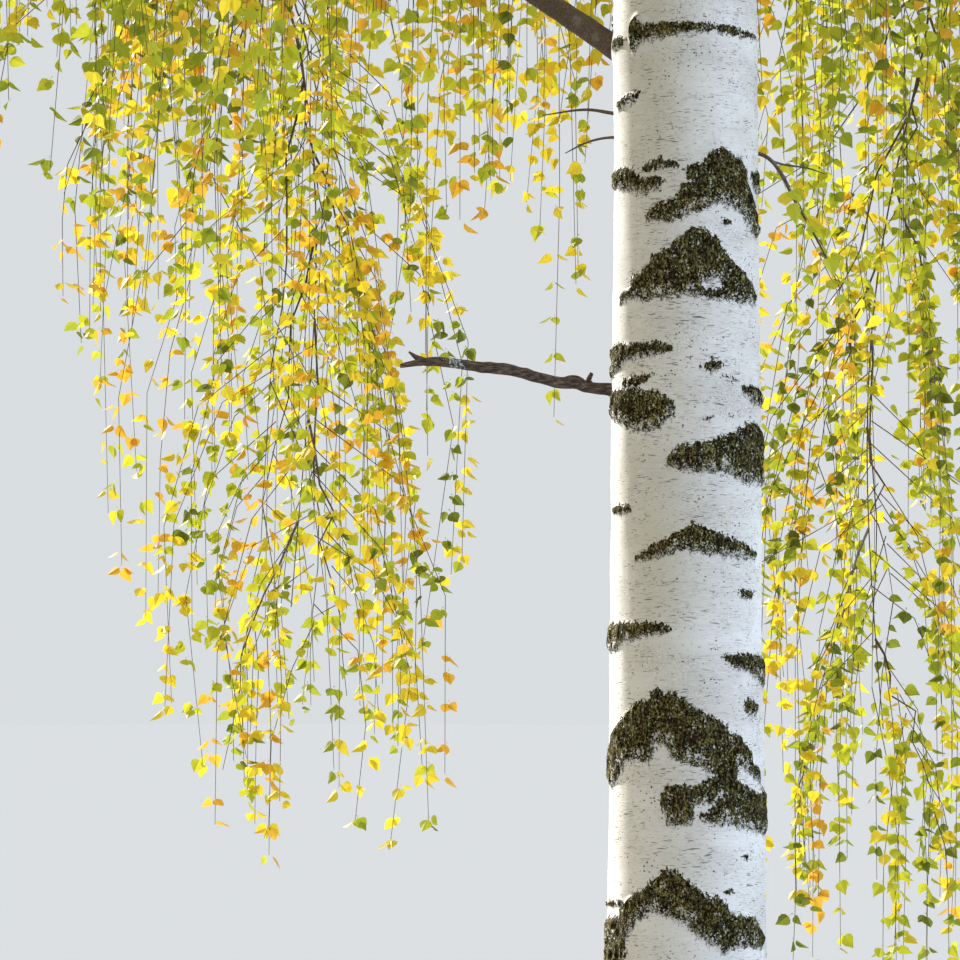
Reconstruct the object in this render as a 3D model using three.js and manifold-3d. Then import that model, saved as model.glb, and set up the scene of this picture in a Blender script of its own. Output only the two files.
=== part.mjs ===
// A silver birch in its autumn leaves: one straight trunk with a root flare, arching boughs, and weeping
// masses of twigs and leaves round it. Millimetres, +Z up. The origin is the middle of the flat cut at
// ground level, +X is to the right of the side that the bark was studied from, and -Y is that side.
import * as THREE from "three";
import { mergeVertices } from "three/addons/utils/BufferGeometryUtils.js";
import Module from "manifold-3d";

const wasm = await Module();
wasm.setup();

// Trunk
const LEADER_TOP = 17100; // where the trunk runs out into the topmost shoot
const BREAST_HEIGHT = 1300;
const BREAST_RADIUS = 164;
const LEADER_TIP_RADIUS = 11;
const TAPER_POWER = 0.85;
const FLARE_DEPTH = 165; // how far the root flare stands out at the ground
const FLARE_HEIGHT = 230; // height over which it falls to about a third
const BUTTRESSES = 5;
const SWAY_START = 2500; // the stem is straight below this
const SWAY_X = 150;
const SWAY_Y = 180;
const LEAN_X = 60;
const TRUNK_SIDES = 18;
const TRUNK_STEPS = 18;
const TRUNK_STEP_POWER = 1.7; // rings crowd together towards the flare

// Crown
const TREE_HEIGHT = 19000;
const CROWN_RADIUS = 3300; // at its widest
const CROWN_BELLY = 0.62; // lower values bring the widest place down
const CROWN_FULLNESS = 0.8; // lower values make its ends blunter
const BLUNTNESS = 2.8; // of a mass's space: 2 is an ellipsoid, more is nearer to a block
const MASS_OUT = 0.62; // middle of a mass, as a share of the crown's radius
const MASS_DEEP = 0.42; // its half size outwards, as the same share
const MASS_WIDE = 1.1; // its half size sideways, as a share of its half of the ring

// Each tier is a ring of masses: how many twigs one has, the mean height of their middles and how
// unevenly they stand, half a mass's height, how many there are, the bearing of the first and the step to
// the next in degrees from +X, how steeply their boughs rise and the radius of a bough's root. The tiers
// with no bough grow straight from the leader. The skirt hangs low at the back and sides, and leaves the
// front open.
const tierOf = (name, twigs, height, uneven, tall, masses, first, step, rise, thick, bough) => {
  return { name, twigs, height, uneven, tall, masses, first, step, rise, thick, bough };
};
const TIERS = [
  tierOf("skirt", 6, 2950, 400, 2050, 5, 32, 41, 0.55, 26, true),
  tierOf("lower", 6, 5800, 2600, 2050, 5, 345, 72, 1.0, 31, true),
  tierOf("middle", 6, 8750, 2600, 2050, 5, 21, 72, 1.25, 29, true),
  tierOf("upper", 6, 11600, 2500, 1900, 4, 50, 90, 1.45, 24, true),
  tierOf("high", 5, 14050, 2200, 1650, 4, 5, 90, 1.6, 17, false),
  tierOf("peak", 4, 16200, 1500, 1450, 3, 40, 120, 2.0, 13, false),
];
const BEARING_JITTER = 0.2; // of a tier's step
const SIZE_JITTER = 0.1;
const STAGGER = 0.618; // share of a tier's unevenness from one mass to the next
const STAGGER_START = 0.8; // lifts the masses at the front of the lower tiers
const TOP = { height: 17800, half: 720, tall: 1200 };
const FORK_IN = 0.55; // a bough ends this share of the mass's depth inside its middle
const FORK_UP = 0.3; // and this share of its height above it
const FORK_SLOPE = 0.8; // how steeply it still rises there
const LOW_FORK_SLOPE = 0.35;
const BOUGH_BEND = 0.35; // where its curve's handles lie, as a share of its run
const BOUGH_SWEEP = 0.5; // and how much of its rise the lower one takes
const BOUGH_TIP = 0.45; // of the root's radius
// A stem arches over a shoulder to its end: shares of the mass's half sizes, outwards and upwards, for a
// stem on a bough and for one on the leader.
const STEM_REACH = 0.6;
const SHOULDER = [0.85, 0.68];
const STEM_END = [0.5, -0.64];
const LEADER_SHOULDER = [0.8, 0.72];
const LEADER_STEM_END = [0.45, -0.64];
const TOP_STEM = { handle: 0.4, end: 0.8, nod: 0.3, aside: 60 };

// Limbs and foliage
const CLEARANCE = 0.3; // between pieces that meet
const SHORT_EDGE = 0.04; // the least distance between two corners of a joined solid
const LIMB_ROOM = 6; // kept clear round every limb by twigs and leaves
const TRUNK_ROOM = 60; // and round the trunk
const CELL_MARGIN = 0.05; // share of a mass's size left free at its border with the next
const GROUND_ROOM = 720; // nothing hangs lower than this
const GOLDEN_ANGLE = Math.PI * (3 - Math.sqrt(5));
const BOUGH_SIDES = 5;
const BOUGH_STEPS = 5;
const STEM_SIDES = 4;
const STEM_STEPS = 5;
const STEM_TIP_RADIUS = 11;
const TWIG_SIDES = 3;
const TWIG_STEPS = 2;
const TWIG_RADIUS = 7;
const TWIG_TIP_RADIUS = 6;
const FIRST_TWIG = { bough: 0.05, leader: 0.3, top: 0.15 }; // share of the stem before the first twig
const LAST_TWIG = 0.98;
const TWIG_CROWDING = 0.75; // below 1 they crowd towards the stem's tip
const TWIG_ONWARD = 0.3; // how far a twig leans along the stem
const TWIG_LIFT = 0.25; // and upwards
const TWIG_SPAN = [0.65, 0.3]; // its length as a share of the mass's half width, at least and at most more
const TWIG_BEND = 0.6; // where it bends over, as a share of its length
const TWIG_SIZES = [1, 0.85, 0.7, 0.55, 0.4]; // tried by turns
const TWIG_SHIFT = 0.04; // how far a shorter one's root moves down the stem
const TWIG_WEEP = 0.95; // how far a twig's tip hangs, as a share of its length
const TWIG_JOINT = 3000; // cubic millimetres that a twig shares with its own stem at most
const SPRAYS_PER_TWIG = 4;
const SPRAY_STEP = 0.25; // share of the twig's length from one blade to the next
const SPRAY_LENGTH = 900; // one blade stands for a hanging spray of small leaves
const SPRAY_WIDTH = 0.6; // of its length
const SPRAY_THICKNESS = 0.022; // of its length
const SPRAY_WIDEST = 0.42; // of its length, from the root
const SPRAY_SUNK = 6; // how far the blade at a twig's tip is sunk in its end
const SPRAY_JOINT = 150; // cubic millimetres that a blade shares with its own twig at most
const SPRAY_SIZES = [1, 0.88, 0.76, 0.64]; // tried by turns
const SPRAY_LEAN = 0.9; // how far a blade turns aside from its twig
const SPRAY_TIP_LEAN = 0.6; // and one at the twig's tip, where it can't hang straight on
const SPRAY_SINK = [0.5, 0.8]; // and how far it hangs, at least and at most more
const SPRAY_ROLL = 2.4; // range of its turn about the twig, in radians
// Numbers that set the fixed draws apart
const DRAWS = { bearing: 1, out: 2, size: 4, turn: 11, span: 20, side: 40, sink: 60, roll: 90, shoot: 91 };

// Low bare wood on the trunk
const SNAG_HEIGHT = 2150;
const SNAG_RADIUS = 13;
const SNAG_TIP_RADIUS = 8;
const SNAG_POINTS = [
  [-120, 0, 14], [-205, -10, 25], [-265, -20, 34], [-370, -36, 60], [-505, -52, 74], [-600, -62, 66],
];
const SNAG_SIDES = 7;
const SNAG_STEPS = 8;
const SPLINTER_RADIUS = 5; // the prong of its split tip
const SPLINTER_TIP_RADIUS = 2.5;
const SPLINTER_POINTS = [[-545, -57, 74], [-580, -60, 92]];
const TWIGLET_TIP_RADIUS = 1.5;
const TWIGLETS = [
  {
    name: "left_twig_high", height: 2748, radius: 4.5,
    points: [[-110, 20, 0], [-156, 34, 12], [-215, 60, 22], [-300, 92, 14]],
  },
  {
    name: "left_twig_low", height: 2706, radius: 3.5,
    points: [[-110, 40, 0], [-158, 52, 4], [-205, 70, -4], [-252, 84, -26]],
  },
];

// A leafy shoot low on the trunk's right side
const SHOOT_HEIGHT = 2676;
const SHOOT_RADIUS = 4.5;
const SHOOT_POINTS = [[90, 60, 10], [168, 66, -2], [232, 60, -95], [330, 52, -290]];
const SHOOT_TIP_RADIUS = 2.5;
const SHOOT_STEPS = 7;
const SHOOT_LEAVES = 11;
const SHOOT_FIRST = 0.3; // share of the shoot before the first leaf
const SHOOT_LEAFY = 0.69; // and that bears leaves
const SHOOT_LEAF = { length: 62, width: 0.8, thickness: 0.04 }; // the last two as shares of its length
const SHOOT_LEAF_HANG = 0.45;
const SHOOT_LEAF_FACING = [0, 1, 0.4];

const UP = new THREE.Vector3(0, 0, 1);
const vector = (list) => new THREE.Vector3(...list);

// A fixed draw from 0 to 1 for a pair of numbers, always the same for the same pair.
function draw(seed, n) {
  const s = Math.sin(seed * 12.9898 + n * 78.233) * 43758.5453;
  return s - Math.floor(s);
}

// The trunk's middle line: straight at the foot, then a slow sway in both directions.
function axis(z) {
  const w = Math.max(0, z - SWAY_START) / (LEADER_TOP - SWAY_START);
  return new THREE.Vector3(
    -SWAY_X * w * Math.sin(2 * Math.PI * w) + LEAN_X * w * w,
    SWAY_Y * w * Math.sin(1.3 * Math.PI * w),
    z,
  );
}

// The trunk's radius at a height, without the flare.
function trunkRadius(z) {
  const share = (LEADER_TOP - z) / (LEADER_TOP - BREAST_HEIGHT);
  return LEADER_TIP_RADIUS + (BREAST_RADIUS - LEADER_TIP_RADIUS) * Math.max(0, share) ** TAPER_POWER;
}

// The root flare: uneven buttresses that die away upwards.
function flare(z, angle) {
  const lobes = 0.6 + 0.28 * Math.cos(BUTTRESSES * angle + 0.7) + 0.12 * Math.cos(2 * angle - 0.9);
  return FLARE_DEPTH * lobes * Math.exp(-z / FLARE_HEIGHT);
}

// A closed tube: the surface of a cylinder, whose rings are laid along a curve and given their own radius.
// The side that its rings are turned to is never along the curve.
function tube(curve, side, radius, sides, steps, spacing = (t) => t) {
  const shape = new THREE.CylinderGeometry(1, 1, 1, sides, steps);
  const place = shape.getAttribute("position");
  const point = new THREE.Vector3();
  for (let i = 0; i < place.count; i++) {
    point.fromBufferAttribute(place, i);
    const t = spacing(Math.round((point.y + 0.5) * steps) / steps);
    const along = curve.getTangent(t);
    const across = side.clone().addScaledVector(along, -side.dot(along)).normalize();
    const around = along.clone().cross(across);
    const ring = radius(t, Math.atan2(point.z, point.x));
    const middle = curve.getPoint(t);
    middle.addScaledVector(across, point.z * ring).addScaledVector(around, point.x * ring);
    place.setXYZ(i, middle.x, middle.y, middle.z);
  }
  return shape;
}

// The corners of a blade: its root and tip, and its two widest places, folded back from the midrib by its
// thickness.
function bladeCorners(root, heading, across, length, width, thickness) {
  const side = across.clone().addScaledVector(heading, -across.dot(heading)).normalize();
  const fold = new THREE.Vector3().crossVectors(heading, side).multiplyScalar(thickness);
  const widest = root.clone().addScaledVector(heading, SPRAY_WIDEST * length).add(fold);
  return {
    root,
    tip: root.clone().addScaledVector(heading, length),
    left: widest.clone().addScaledVector(side, -width / 2),
    right: widest.clone().addScaledVector(side, width / 2),
  };
}

// A blade with four faces: a tetrahedron with its corners moved.
function blade(corners) {
  const shape = new THREE.TetrahedronGeometry(1);
  const place = shape.getAttribute("position");
  for (let i = 0; i < place.count; i++) {
    const onMidrib = place.getZ(i) > 0;
    const ahead = place.getX(i) > 0;
    const corner = onMidrib ? (ahead ? corners.tip : corners.root) : ahead ? corners.right : corners.left;
    place.setXYZ(i, ...corner);
  }
  return shape;
}

// A closed geometry as a solid for joining and cutting.
function solid(shape) {
  const bare = shape.clone();
  bare.deleteAttribute("normal");
  bare.deleteAttribute("uv");
  const merged = mergeVertices(bare, 1e-3);
  const made = new wasm.Manifold(
    new wasm.Mesh({
      numProp: 3,
      vertProperties: merged.getAttribute("position").array,
      triVerts: new Uint32Array(merged.index.array),
    }),
  );
  if (made.volume() > 0) return made;
  const order = new Uint32Array(merged.index.array).reverse();
  return new wasm.Manifold(
    new wasm.Mesh({ numProp: 3, vertProperties: merged.getAttribute("position").array, triVerts: order }),
  );
}

// The largest single body of a solid, without loose scraps or sealed hollows.
function oneBody(made) {
  const bodies = made.decompose();
  const largest = bodies.reduce((best, body) => (body.volume() > best.volume() ? body : best), bodies[0]);
  return largest.simplify(SHORT_EDGE);
}

// A solid with a piece fused to it, or null where the seam would leave two corners too near each other.
function fused(made, piece) {
  const joined = made.add(piece).simplify(SHORT_EDGE);
  const { vertProperties } = joined.getMesh();
  for (let i = 0; i < vertProperties.length; i += 3) {
    for (let k = 0; k < i; k += 3) {
      const apart = (n) => vertProperties[i + n] - vertProperties[k + n];
      if (Math.hypot(apart(0), apart(1), apart(2)) < SHORT_EDGE) return null;
    }
  }
  return joined;
}

// A solid as a named mesh whose own origin is at a point of the tree.
function mesh(name, made, material, origin = new THREE.Vector3()) {
  const { vertProperties, triVerts } = made.getMesh();
  const shape = new THREE.BufferGeometry();
  shape.setAttribute("position", new THREE.BufferAttribute(new Float32Array(vertProperties), 3));
  shape.setIndex(new THREE.BufferAttribute(new Uint32Array(triVerts), 1));
  shape.translate(-origin.x, -origin.y, -origin.z);
  shape.computeVertexNormals();
  const piece = new THREE.Mesh(shape, material);
  piece.name = name;
  piece.position.copy(origin);
  return piece;
}

const whiteBark = new THREE.MeshStandardMaterial({ color: 0xe4e2dd, roughness: 0.75, metalness: 0 });
const darkBark = new THREE.MeshStandardMaterial({ color: 0x4a3b30, roughness: 0.85, metalness: 0 });
const autumnLeaf = new THREE.MeshStandardMaterial({ color: 0xb9bb2a, roughness: 0.55, metalness: 0 });

// The trunk from its flat cut to the leader's tip. A wider copy cuts the limbs' roots to its surface.
class TrunkLine extends THREE.Curve {
  getPoint(t, target = new THREE.Vector3()) {
    return target.copy(axis(t * LEADER_TOP));
  }
  getTangent(t, target = new THREE.Vector3()) {
    return target.copy(t === 0 ? UP : axis(t * LEADER_TOP + 1).sub(axis(t * LEADER_TOP - 1)).normalize());
  }
}

function trunkSolid(extra) {
  const radius = (t, angle) => trunkRadius(t * LEADER_TOP) + flare(t * LEADER_TOP, angle) + extra;
  const spacing = (t) => t ** TRUNK_STEP_POWER;
  return solid(tube(new TrunkLine(), vector([1, 0, 0]), radius, TRUNK_SIDES, TRUNK_STEPS, spacing));
}

// The crown's outline: its radius at a height.
function crownRadius(z) {
  return CROWN_RADIUS * Math.sin(Math.PI * (z / TREE_HEIGHT) ** CROWN_BELLY) ** CROWN_FULLNESS;
}

// Where one mass keeps its leaves: a rounded space, turned to face outwards.
function massSpace(tier, index, seed) {
  const vary = (n) => 1 - SIZE_JITTER / 2 + SIZE_JITTER * draw(seed, n);
  const bearing = tier.first + tier.step * (index + BEARING_JITTER * (draw(seed, DRAWS.bearing) - 0.5));
  const angle = THREE.MathUtils.degToRad(bearing);
  const outward = new THREE.Vector3(Math.cos(angle), Math.sin(angle), 0);
  const aside = new THREE.Vector3(-Math.sin(angle), Math.cos(angle), 0);
  const height = tier.height + tier.uneven * (((STAGGER * (index + 1) + STAGGER_START) % 1) - 0.5);
  const scale = vary(DRAWS.size);
  const out = MASS_OUT * crownRadius(tier.height) * vary(DRAWS.out);
  const wide = MASS_WIDE * scale * Math.PI * out * (tier.step / 360);
  const deep = MASS_DEEP * scale * crownRadius(tier.height);
  const centre = axis(height).addScaledVector(outward, out);
  return { tier, seed, outward, aside, wide, deep, tall: scale * tier.tall, out, centre };
}

// How far a point lies from the middle of a mass's space, which is blunter than an ellipsoid: 1 is its
// border.
function reach(space, point) {
  const offset = point.clone().sub(space.centre);
  const shares = [
    offset.dot(space.outward) / space.deep,
    offset.dot(space.aside) / space.wide,
    offset.z / space.tall,
  ];
  return shares.reduce((sum, share) => sum + Math.abs(share) ** BLUNTNESS, 0) ** (1 / BLUNTNESS);
}

// A bough rises from the trunk and bends out to the upper inner part of its mass.
function boughLine(space) {
  const slope = space.tier.rise < 1 ? LOW_FORK_SLOPE : FORK_SLOPE;
  const heading = space.outward.clone().addScaledVector(UP, slope).normalize();
  const fork = space.centre.clone();
  fork.addScaledVector(space.outward, -FORK_IN * space.deep).addScaledVector(UP, FORK_UP * space.tall);
  const run = space.out - FORK_IN * space.deep;
  const root = axis(fork.z - space.tier.rise * run);
  const first = root.clone().addScaledVector(space.outward, BOUGH_BEND * run);
  first.addScaledVector(UP, BOUGH_SWEEP * space.tier.rise * run);
  const second = fork.clone().addScaledVector(heading, -BOUGH_BEND * run);
  return { line: new THREE.CubicBezierCurve3(root, first, second, fork), heading, fork };
}

// A mass's stem goes on from the bough's tip, or from the leader, arches over and weeps.
function stemLine(space) {
  const { centre, outward, deep, tall } = space;
  const at = ([o, u]) => centre.clone().addScaledVector(outward, o * deep).addScaledVector(UP, u * tall);
  if (space.tier.bough) {
    const { heading, fork } = boughLine(space);
    const root = fork.clone().addScaledVector(heading, CLEARANCE);
    const first = root.clone().addScaledVector(heading, STEM_REACH * deep);
    return new THREE.CubicBezierCurve3(root, first, at(SHOULDER), at(STEM_END));
  }
  const root = axis(centre.z + FORK_UP * tall - space.tier.rise * STEM_REACH * space.out);
  const first = root.clone().addScaledVector(outward, BOUGH_BEND * space.out);
  first.addScaledVector(UP, BOUGH_SWEEP * tall);
  return new THREE.CubicBezierCurve3(root, first, at(LEADER_SHOULDER), at(LEADER_STEM_END));
}

function topStemLine(space) {
  const { handle, end, nod, aside } = TOP_STEM;
  const heading = new TrunkLine().getTangent(1);
  const root = axis(LEADER_TOP).addScaledVector(heading, CLEARANCE);
  const tip = space.centre.clone().addScaledVector(UP, end * space.tall);
  tip.addScaledVector(space.outward, aside);
  const first = root.clone().addScaledVector(heading, handle * space.tall);
  const second = tip.clone().addScaledVector(UP, -nod * space.tall);
  return new THREE.CubicBezierCurve3(root, first, second, tip);
}

const taper = (from, to) => (t) => to + (from - to) * (1 - t) ** 1.2;

// A point on the straight segments that a tube follows, and their direction there.
function along(curve, steps, t) {
  const step = Math.min(Math.floor(t * steps), steps - 1);
  const [from, to] = [curve.getPoint(step / steps), curve.getPoint((step + 1) / steps)];
  return { point: from.clone().lerp(to, t * steps - step), tangent: to.clone().sub(from).normalize() };
}

const tree = new THREE.Group();
const trunk = trunkSolid(0);
const widerTrunk = trunkSolid(CLEARANCE);
const roomyTrunk = trunkSolid(TRUNK_ROOM);
tree.add(mesh("trunk", oneBody(trunk), whiteBark));

const spaces = [];
for (const tier of TIERS) {
  for (let index = 0; index < tier.masses; index++) {
    spaces.push({ ...massSpace(tier, index, spaces.length + 1), number: index + 1 });
  }
}
const topSpace = {
  tier: { name: "top", twigs: 4, bough: false },
  seed: spaces.length + 1,
  outward: new THREE.Vector3(1, 0, 0),
  aside: new THREE.Vector3(0, 1, 0),
  wide: TOP.half,
  deep: TOP.half,
  tall: TOP.tall,
  centre: axis(LEADER_TOP).setZ(TOP.height),
};
spaces.push(topSpace);

// Whether a point is this mass's own: inside its space, and nearer its middle than any other's.
function owns(space, point) {
  const own = reach(space, point);
  if (own > 1 || point.z < GROUND_ROOM) return false;
  return spaces.every((other) => other === space || reach(other, point) > own + CELL_MARGIN);
}

// Boughs, and a wider copy of each that leaves must miss.
const limbs = [];
for (const space of spaces.filter((s) => s.tier.bough)) {
  const { name, thick } = space.tier;
  const { line } = boughLine(space);
  const radius = taper(thick, BOUGH_TIP * thick);
  const grown = (extra) => {
    return solid(tube(line, space.aside, (t) => radius(t) + extra, BOUGH_SIDES, BOUGH_STEPS));
  };
  const bough = oneBody(grown(0).subtract(widerTrunk));
  limbs.push(grown(LIMB_ROOM));
  tree.add(mesh(`${name}_bough_${space.number}`, bough, darkBark, line.getPoint(0)));
}

// Twigs spring from the stem by the golden angle, sag under their weight and shorten until they stay in
// the mass's space. Each carries flat blades, one for each spray of leaves, and one more hangs from the
// stem's tip. A twig or blade that would leave the space or touch a limb is tried again, shorter and
// hanging more, and then skipped.
function foliage(space, stem, stemRadius, firstTwig) {
  const { seed } = space;
  const spray = SPRAY_LENGTH * (0.4 + (0.6 * space.tall) / TIERS[0].tall);
  const clear = (piece) => [roomyTrunk, ...limbs].every((limb) => piece.intersect(limb).isEmpty());
  let made = solid(tube(stem, space.aside, taper(stemRadius, STEM_TIP_RADIUS), STEM_SIDES, STEM_STEPS));

  // One blade, the largest that fits of a few, which hang more steeply the smaller they are.
  const hang = (start, headings, across, length) => {
    for (const share of SPRAY_SIZES) {
      for (const wanted of headings) {
        const size = length * share;
        const heading = wanted.clone().addScaledVector(UP, -2 * (1 - share)).normalize();
        const thickness = SPRAY_THICKNESS * size;
        const corners = bladeCorners(start, heading, across, size, SPRAY_WIDTH * size, thickness);
        const free = [corners.tip, corners.left, corners.right];
        if (!free.every((corner) => owns(space, corner))) continue;
        const leaf = solid(blade(corners));
        if (!clear(leaf) || made.intersect(leaf).volume() > SPRAY_JOINT) continue;
        const joined = fused(made, leaf);
        if (!joined) continue;
        made = joined;
        return;
      }
    }
  };

  for (let i = 0; i < space.tier.twigs; i++) {
    const t = firstTwig + (LAST_TWIG - firstTwig) * ((i + 0.5) / space.tier.twigs) ** TWIG_CROWDING;
    const turn = GOLDEN_ANGLE * i + 2 * Math.PI * draw(seed, DRAWS.turn);
    const sideways = space.outward.clone().multiplyScalar(Math.cos(turn));
    sideways.addScaledVector(space.aside, Math.sin(turn));
    const wish = space.wide * (TWIG_SPAN[0] + TWIG_SPAN[1] * draw(seed, DRAWS.span + i));
    for (const share of TWIG_SIZES) {
      const { point: root, tangent: onward } = along(stem, STEM_STEPS, t * (1 - TWIG_SHIFT * (1 - share)));
      const heading = sideways.clone().addScaledVector(onward, TWIG_ONWARD).addScaledVector(UP, TWIG_LIFT);
      heading.normalize();
      const length = wish * share;
      const bend = root.clone().addScaledVector(heading, TWIG_BEND * length);
      const end = root.clone().addScaledVector(heading, length).addScaledVector(UP, -TWIG_WEEP * length);
      if (!owns(space, end)) continue;
      const line = new THREE.QuadraticBezierCurve3(root, bend, end);
      const side = new THREE.Vector3().crossVectors(UP, heading);
      const twig = solid(tube(line, side, taper(TWIG_RADIUS, TWIG_TIP_RADIUS), TWIG_SIDES, TWIG_STEPS));
      if (!clear(twig) || made.intersect(twig).volume() > TWIG_JOINT) continue;
      const joined = fused(made, twig);
      if (!joined) continue;
      made = joined;
      for (let k = 0; k < SPRAYS_PER_TWIG; k++) {
        const { point, tangent } = along(line, TWIG_STEPS, 1 - SPRAY_STEP * k);
        const level = new THREE.Vector3().crossVectors(UP, tangent).normalize();
        const sink = SPRAY_SINK[0] + SPRAY_SINK[1] * draw(seed, DRAWS.sink + SPRAYS_PER_TWIG * i + k);
        const lean = (k % 2 ? SPRAY_LEAN : -SPRAY_LEAN) * (draw(seed, DRAWS.side + i) > 0.5 ? 1 : -1);
        const headings = (k === 0 ? [0, SPRAY_TIP_LEAN, -SPRAY_TIP_LEAN] : [lean, -lean]).map((aside) =>
          tangent.clone().addScaledVector(level, aside).addScaledVector(UP, -sink).normalize(),
        );
        const roll = SPRAY_ROLL * (draw(seed, DRAWS.roll + SPRAYS_PER_TWIG * i + k) - 0.5);
        const facing = level.clone().applyAxisAngle(tangent, roll);
        if (k === 0) point.addScaledVector(tangent, -SPRAY_SUNK);
        hang(point, headings, facing, spray);
      }
      break;
    }
  }
  const tip = along(stem, STEM_STEPS, 1);
  hang(tip.point.addScaledVector(tip.tangent, -SPRAY_SUNK), [tip.tangent], space.aside, spray);
  return oneBody(made.subtract(widerTrunk));
}

for (const space of spaces) {
  if (space === topSpace) continue;
  const { name, bough, thick } = space.tier;
  const stem = stemLine(space);
  const [stemRadius, firstTwig] = bough
    ? [BOUGH_TIP * thick, FIRST_TWIG.bough]
    : [thick, FIRST_TWIG.leader];
  const grown = foliage(space, stem, stemRadius, firstTwig);
  tree.add(mesh(`${name}_leaves_${space.number}`, grown, autumnLeaf, stem.getPoint(0)));
}
const topStem = topStemLine(topSpace);
const topLeaves = foliage(topSpace, topStem, LEADER_TIP_RADIUS, FIRST_TWIG.top);
tree.add(mesh("top_leaves", topLeaves, autumnLeaf, topStem.getPoint(0)));

// A bare limb low on the trunk, along points counted from the trunk's middle at its height.
function lowLimb(height, points, radius, tipRadius, sides, steps) {
  const line = new THREE.CatmullRomCurve3(points.map((p) => axis(height).add(vector(p))));
  return { line, made: solid(tube(line, vector([0, 1, 0]), taper(radius, tipRadius), sides, steps)) };
}

const snag = lowLimb(SNAG_HEIGHT, SNAG_POINTS, SNAG_RADIUS, SNAG_TIP_RADIUS, SNAG_SIDES, SNAG_STEPS).made;
const splinterRadii = [SPLINTER_RADIUS, SPLINTER_TIP_RADIUS];
const prong = lowLimb(SNAG_HEIGHT, SPLINTER_POINTS, ...splinterRadii, STEM_SIDES, 1).made;
const wholeSnag = fused(snag, prong) ?? snag;
tree.add(mesh("dead_snag", oneBody(wholeSnag.subtract(widerTrunk)), darkBark, axis(SNAG_HEIGHT)));
for (const { name, height, radius, points } of TWIGLETS) {
  const { made } = lowLimb(height, points, radius, TWIGLET_TIP_RADIUS, STEM_SIDES, STEM_STEPS);
  tree.add(mesh(name, oneBody(made.subtract(widerTrunk)), darkBark, axis(height)));
}

// The low shoot: leaves of nearly life size stand off it by turns, left and right.
function lowShoot() {
  const stem = lowLimb(SHOOT_HEIGHT, SHOOT_POINTS, SHOOT_RADIUS, SHOOT_TIP_RADIUS, STEM_SIDES, SHOOT_STEPS);
  const { length, width, thickness } = SHOOT_LEAF;
  let { made } = stem;
  for (let i = 0; i < SHOOT_LEAVES; i++) {
    const t = SHOOT_FIRST + (SHOOT_LEAFY * (i + 0.5)) / SHOOT_LEAVES;
    const { point, tangent } = along(stem.line, SHOOT_STEPS, t);
    const level = new THREE.Vector3().crossVectors(UP, tangent).normalize();
    const heading = tangent.multiplyScalar(0.5).addScaledVector(UP, -SHOOT_LEAF_HANG);
    heading.addScaledVector(level, (i % 2 ? 1 : -1) * (0.5 + 0.6 * draw(DRAWS.shoot, i)));
    heading.addScaledVector(vector([1, 0, 0]), 0.3).normalize();
    const across = new THREE.Vector3().crossVectors(heading, vector(SHOOT_LEAF_FACING));
    const corners = bladeCorners(point, heading, across, length, width * length, thickness * length);
    made = fused(made, solid(blade(corners))) ?? made;
  }
  return oneBody(made.subtract(widerTrunk));
}
tree.add(mesh("low_shoot", lowShoot(), autumnLeaf, axis(SHOOT_HEIGHT)));

export default tree;
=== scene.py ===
"""Silver birch in autumn leaf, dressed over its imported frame: papery bark with rough scars on the trunk,
boughs that arch out and weep, a dead snag, and the twigs and leaves of every mass made one by one.

The frame is in metres with +Z up. -Y is the front, from which bearings on the bark are counted, positive to
the right. Every shape is worked out as whole numpy arrays, and the same seeds give the same tree each time.
"""

import math
from collections import namedtuple

import bpy
import numpy as np
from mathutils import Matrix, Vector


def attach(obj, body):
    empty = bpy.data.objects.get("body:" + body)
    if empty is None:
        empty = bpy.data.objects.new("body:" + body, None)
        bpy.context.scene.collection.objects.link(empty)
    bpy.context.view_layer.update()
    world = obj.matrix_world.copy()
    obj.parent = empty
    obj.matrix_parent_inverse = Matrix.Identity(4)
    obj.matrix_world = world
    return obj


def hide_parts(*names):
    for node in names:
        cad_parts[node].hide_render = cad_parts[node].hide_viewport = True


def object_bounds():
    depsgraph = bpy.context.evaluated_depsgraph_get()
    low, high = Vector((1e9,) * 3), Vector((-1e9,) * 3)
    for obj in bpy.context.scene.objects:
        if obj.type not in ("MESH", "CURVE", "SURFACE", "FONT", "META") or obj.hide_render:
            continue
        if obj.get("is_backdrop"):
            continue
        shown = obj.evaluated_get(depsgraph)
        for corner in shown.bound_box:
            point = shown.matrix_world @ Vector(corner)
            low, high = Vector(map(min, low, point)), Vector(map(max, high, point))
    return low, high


bl_info = {
    "name": "Silver birch",
    "version": (1, 0, 0),
    "blender": (4, 5, 0),
    "location": "3D View > Sidebar > Birch",
    "description": "Bark, limbs, twigs and leaves of a weeping silver birch over its packed frame",
    "category": "Add Mesh",
}

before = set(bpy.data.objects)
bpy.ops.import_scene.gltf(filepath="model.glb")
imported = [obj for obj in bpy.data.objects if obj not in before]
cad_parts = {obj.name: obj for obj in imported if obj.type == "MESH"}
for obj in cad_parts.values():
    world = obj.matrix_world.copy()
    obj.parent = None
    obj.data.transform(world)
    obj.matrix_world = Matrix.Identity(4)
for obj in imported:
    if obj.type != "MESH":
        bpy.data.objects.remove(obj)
FRAME_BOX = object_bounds()
NODES = sorted(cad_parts)
TAU = 2 * math.pi
UP = np.array([0.0, 0.0, 1.0])

# The trunk's line and thickness, as in the frame
LEADER_TOP = 17.1
BREAST_HEIGHT = 1.3
BREAST_RADIUS = 0.164
LEADER_TIP_RADIUS = 0.011
FLARE_DEPTH = 0.165
FLARE_HEIGHT = 0.23
SWAY_START = 2.5

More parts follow.
